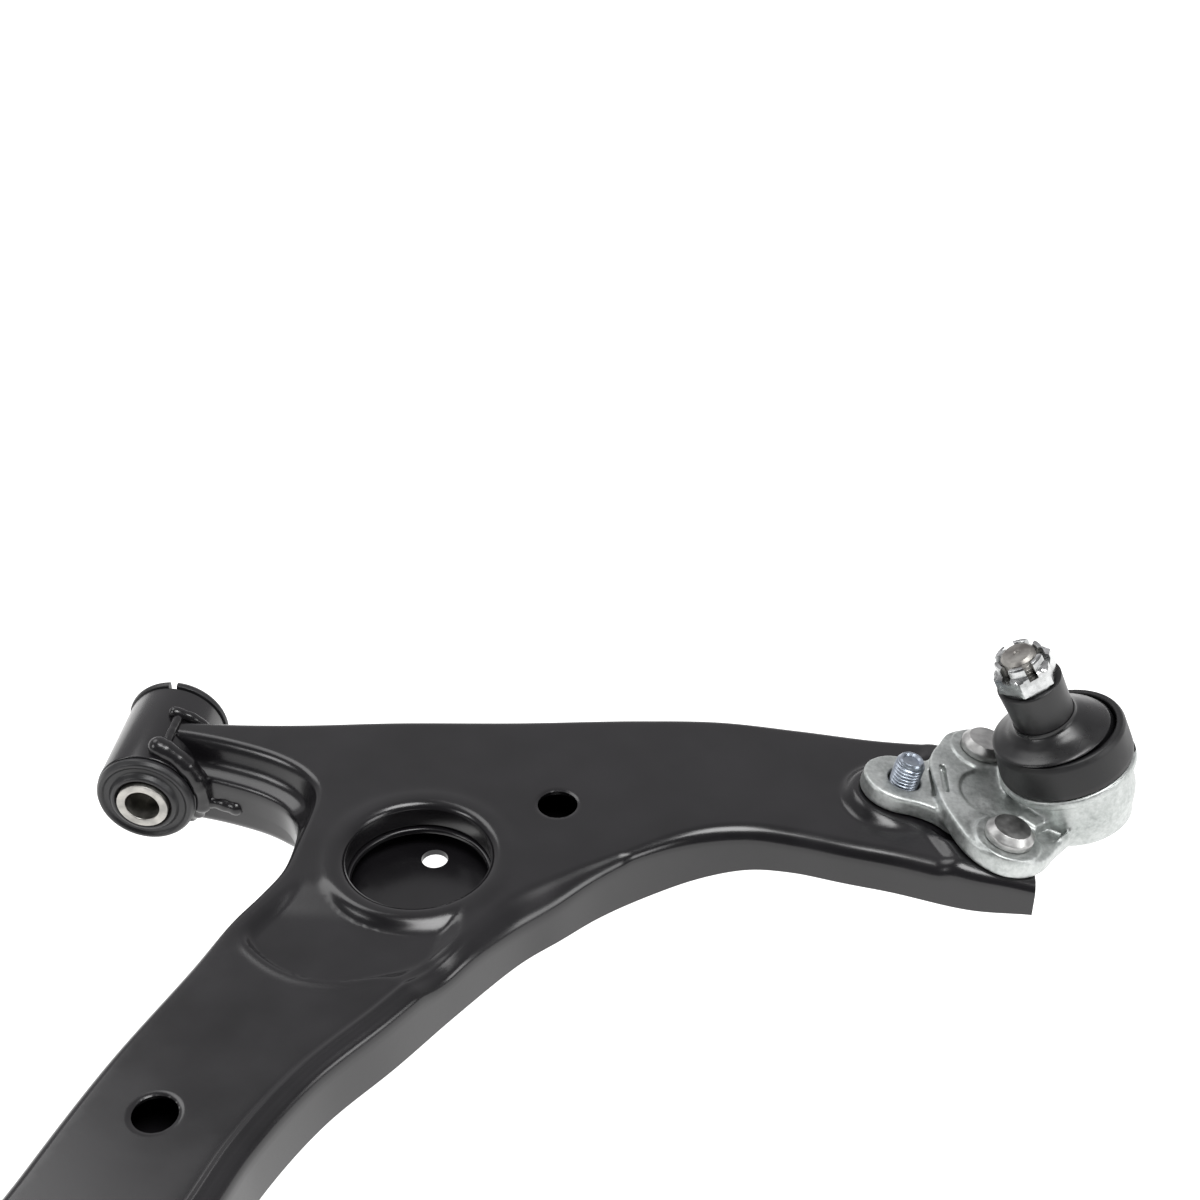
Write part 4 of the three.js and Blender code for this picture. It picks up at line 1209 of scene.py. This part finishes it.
def hex_nut(name, place, face, across_flats, collar, node):
    outline_points = [(4.6, face - 8.5), (12, face - 8.5), (12, face - 7.9), (12, face - 7.3),
        (12, face - 6.6), (12, face - 4.5), (12, face - 2.6), (collar, face - 2.2, 0.5),
        (collar, face, 0.3), (4.6, face)]
    corner = across_flats / math.sqrt(3)

    def chamfer(z):
        return across_flats / 2 * 0.96 + max(0.0, z - face + 8.5) * 1.7

    def reach(turn, r, z):
        if z > face - 2.4 or r <= 4.7:
            return np.full(len(turn), r)
        return np.minimum(np.minimum(hex_reach(across_flats, turn, chamfer(z)), r), corner)

    nut = turned(name, outline_points, place, blue_zinc, 144, reach, 30)
    nodes = [node] if node else []
    fit(nut, "arm", "blue_zinc", *nodes)


flange_fasteners()


# ---------------------------------------------------------------- doubler plate


def carried_over():
    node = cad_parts["end_doubler"]
    node.data.materials.clear()
    node.data.materials.append(paint)


carried_over()


# ---------------------------------------------------------------- welds


def bead_field(points, spots, radii):
    field = np.full(len(points), 1e3)
    for spot, radius in zip(spots, radii):
        gap = np.linalg.norm(points - spot, axis=1) - radius
        field = soft_min(field, gap, 1.1)
    return field


def weld(name, path, radius, ripple, node=None, spacing=1.9):
    """A weld bead: overlapping round puddles along a path, with a slightly uneven width."""
    spots = spline(path, spacing)
    count = np.arange(len(spots))
    radii = radius + ripple * np.sin(count * 2.1) + 0.5 * ripple * np.sin(count * 5.3 + 1.0)
    low, high = spots.min(axis=0) - radius - 2, spots.max(axis=0) + radius + 2
    whole = Place([0, 0, 0], [0, 0, 1], [1, 0, 0])
    bead = cast(name, lambda p: bead_field(p, spots, radii), low, high, 0.62, whole, weld_paint, 60)
    nodes = [node] if node else []
    fit(bead, "arm", "weld_paint", *nodes)


def beside_tube(angles, ys, reach):
    return [(reach * math.cos(math.radians(a)), y, FRONT_Z + reach * math.sin(math.radians(a))) for a,
        y in zip(angles, ys)]


def welds():
    weld("tube_weld_rear", beside_tube((74, 58, 40, 20, 0, -14), (-17.0, -18.2, -19.0, -19.2, -19.0, -18.4),
        22.4), 4.5, 0.25, "tube_weld_rear", 3.6)
    weld("tube_weld_front", beside_tube((74, 56, 34, 10, -16), (6.4, 7.2, 7.4, 7.4, 7.0), 22.2), 2.5, 0.2,
        "tube_weld_front", 1.9)
    weld("tube_weld_top", [(8.2, -15.5, 0.2), (8.0, -9, 0.4), (8.0, -3, 0.4), (8.0, 3.4, 0.2)], 1.8, 0.15,
        None, 1.5)
    weld("tube_weld_low", beside_tube((-24, -36, -50), (-16.8, -15.6, -13.6), 22.2), 3.3, 0.4, None, 3.4)
    weld("seam_weld", [(22.5, -17.4, -24.4), (27, -18.4, -24.6), (32, -19.4, -24.4), (37, -20.9, -24.8)],
        3.1, 0.4, None, 2.7)
    ring = []
    for angle in (38, 55, 75, 95, 115, 132):
        a = math.radians(angle)
        ring.append((45 + 37.3 * math.cos(a), -290 + 37.3 * math.sin(a)))
    weld("ring_weld_top", [(x, y, 0.3) for x, y in ring], 2.5, 0.3, "ring_weld_top", 2.5)
    weld("ring_weld_bottom", [(x, y, -23.0) for x, y in ring], 2.5, 0.3, "ring_weld_bottom", 2.5)
    for name, angle in (("ring_weld_outboard", 33.5), ("ring_weld_inboard", 137)):
        a = math.radians(angle)
        x, y = 45 + 37.6 * math.cos(a), -290 + 37.6 * math.sin(a)
        weld(name, [(x, y, -1.5), (x, y, -9), (x, y, -16), (x, y, -22)], 2.4, 0.3, None, 2.5)


welds()


# ---------------------------------------------------------------- studio


def studio():
    scene = bpy.context.scene
    floor = bpy.data.meshes.new("floor")
    half = 8.0
    floor.from_pydata([(-half, -half, 0), (half, -half, 0), (half, half, 0), (-half, half, 0)], [],
        [(0, 1, 2, 3)])
    ground = bpy.data.objects.new("floor", floor)
    ground.location.z = -0.0004
    scene.collection.objects.link(ground)
    material, _, _, shader, _ = new_material("floor", (0.3, 0.3, 0.3), 0.8, specular=0.1)
    shader.inputs["Emission Color"].default_value = (1, 0.995, 0.99, 1)
    shader.inputs["Emission Strength"].default_value = 1.3
    floor.materials.append(material)

    world = bpy.data.worlds.new("studio")
    scene.world = world
    world.use_nodes = True
    nodes, links = world.node_tree.nodes, world.node_tree.links
    coordinate = nodes.new("ShaderNodeTexCoord")
    split = nodes.new("ShaderNodeSeparateXYZ")
    links.new(coordinate.outputs["Generated"], split.inputs["Vector"])
    side = ranged(nodes, links, split.outputs["Y"], -1, 1, 0, 1)
    tones = tinted(nodes, links, side, (0.13, 0.13, 0.135), (0.64, 0.63, 0.645), 0.3, 0.86)
    links.new(tones, nodes["Background"].inputs["Color"])
    nodes["Background"].inputs["Strength"].default_value = 1.0

    def area(name, where, target, size, energy):
        light = bpy.data.lights.new(name, "AREA")
        light.shape = "RECTANGLE"
        light.size, light.size_y = size
        light.energy = energy
        lamp = bpy.data.objects.new(name, light)
        lamp.location = where
        lamp.rotation_euler = (Vector(target) - Vector(where)).to_track_quat("-Z", "Y").to_euler()
        scene.collection.objects.link(lamp)

    area("key", (0.35, -0.35, 1.9), (0.0, 0.0, 0.0), (1.0, 0.8), 30)
    area("right", (1.7, -0.5, 0.8), (0.0, -0.05, 0.03), (0.9, 0.7), 12)
    area("left", (-1.5, -0.7, 1.0), (0.0, 0.0, 0.03), (0.6, 0.5), 8)
    area("far_left", (-1.4, 1.0, 2.05), (-0.1, -0.1, 0.03), (1.2, 1.2), 16)

    camera = bpy.data.cameras.new("camera")
    camera.sensor_width = 36
    camera.lens = 60
    camera.clip_start = 0.05
    viewer = bpy.data.objects.new("camera", camera)
    pitch, heading = math.radians(35.2), math.radians(6.5)
    forward = Vector((-math.sin(heading) * math.cos(pitch), math.cos(heading) * math.cos(pitch),
        -math.sin(pitch)))
    right = Vector((math.cos(heading), math.sin(heading), 0))
    up = right.cross(forward)
    turn = Matrix((right, up, -forward)).transposed().to_4x4()
    where = Vector(np.array([258.97, -630.53, 526.0]) * MM + ORIGIN)
    viewer.matrix_world = Matrix.Translation(where) @ turn
    scene.collection.objects.link(viewer)
    scene.camera = viewer
    scene.view_settings.view_transform = "Standard"


studio()
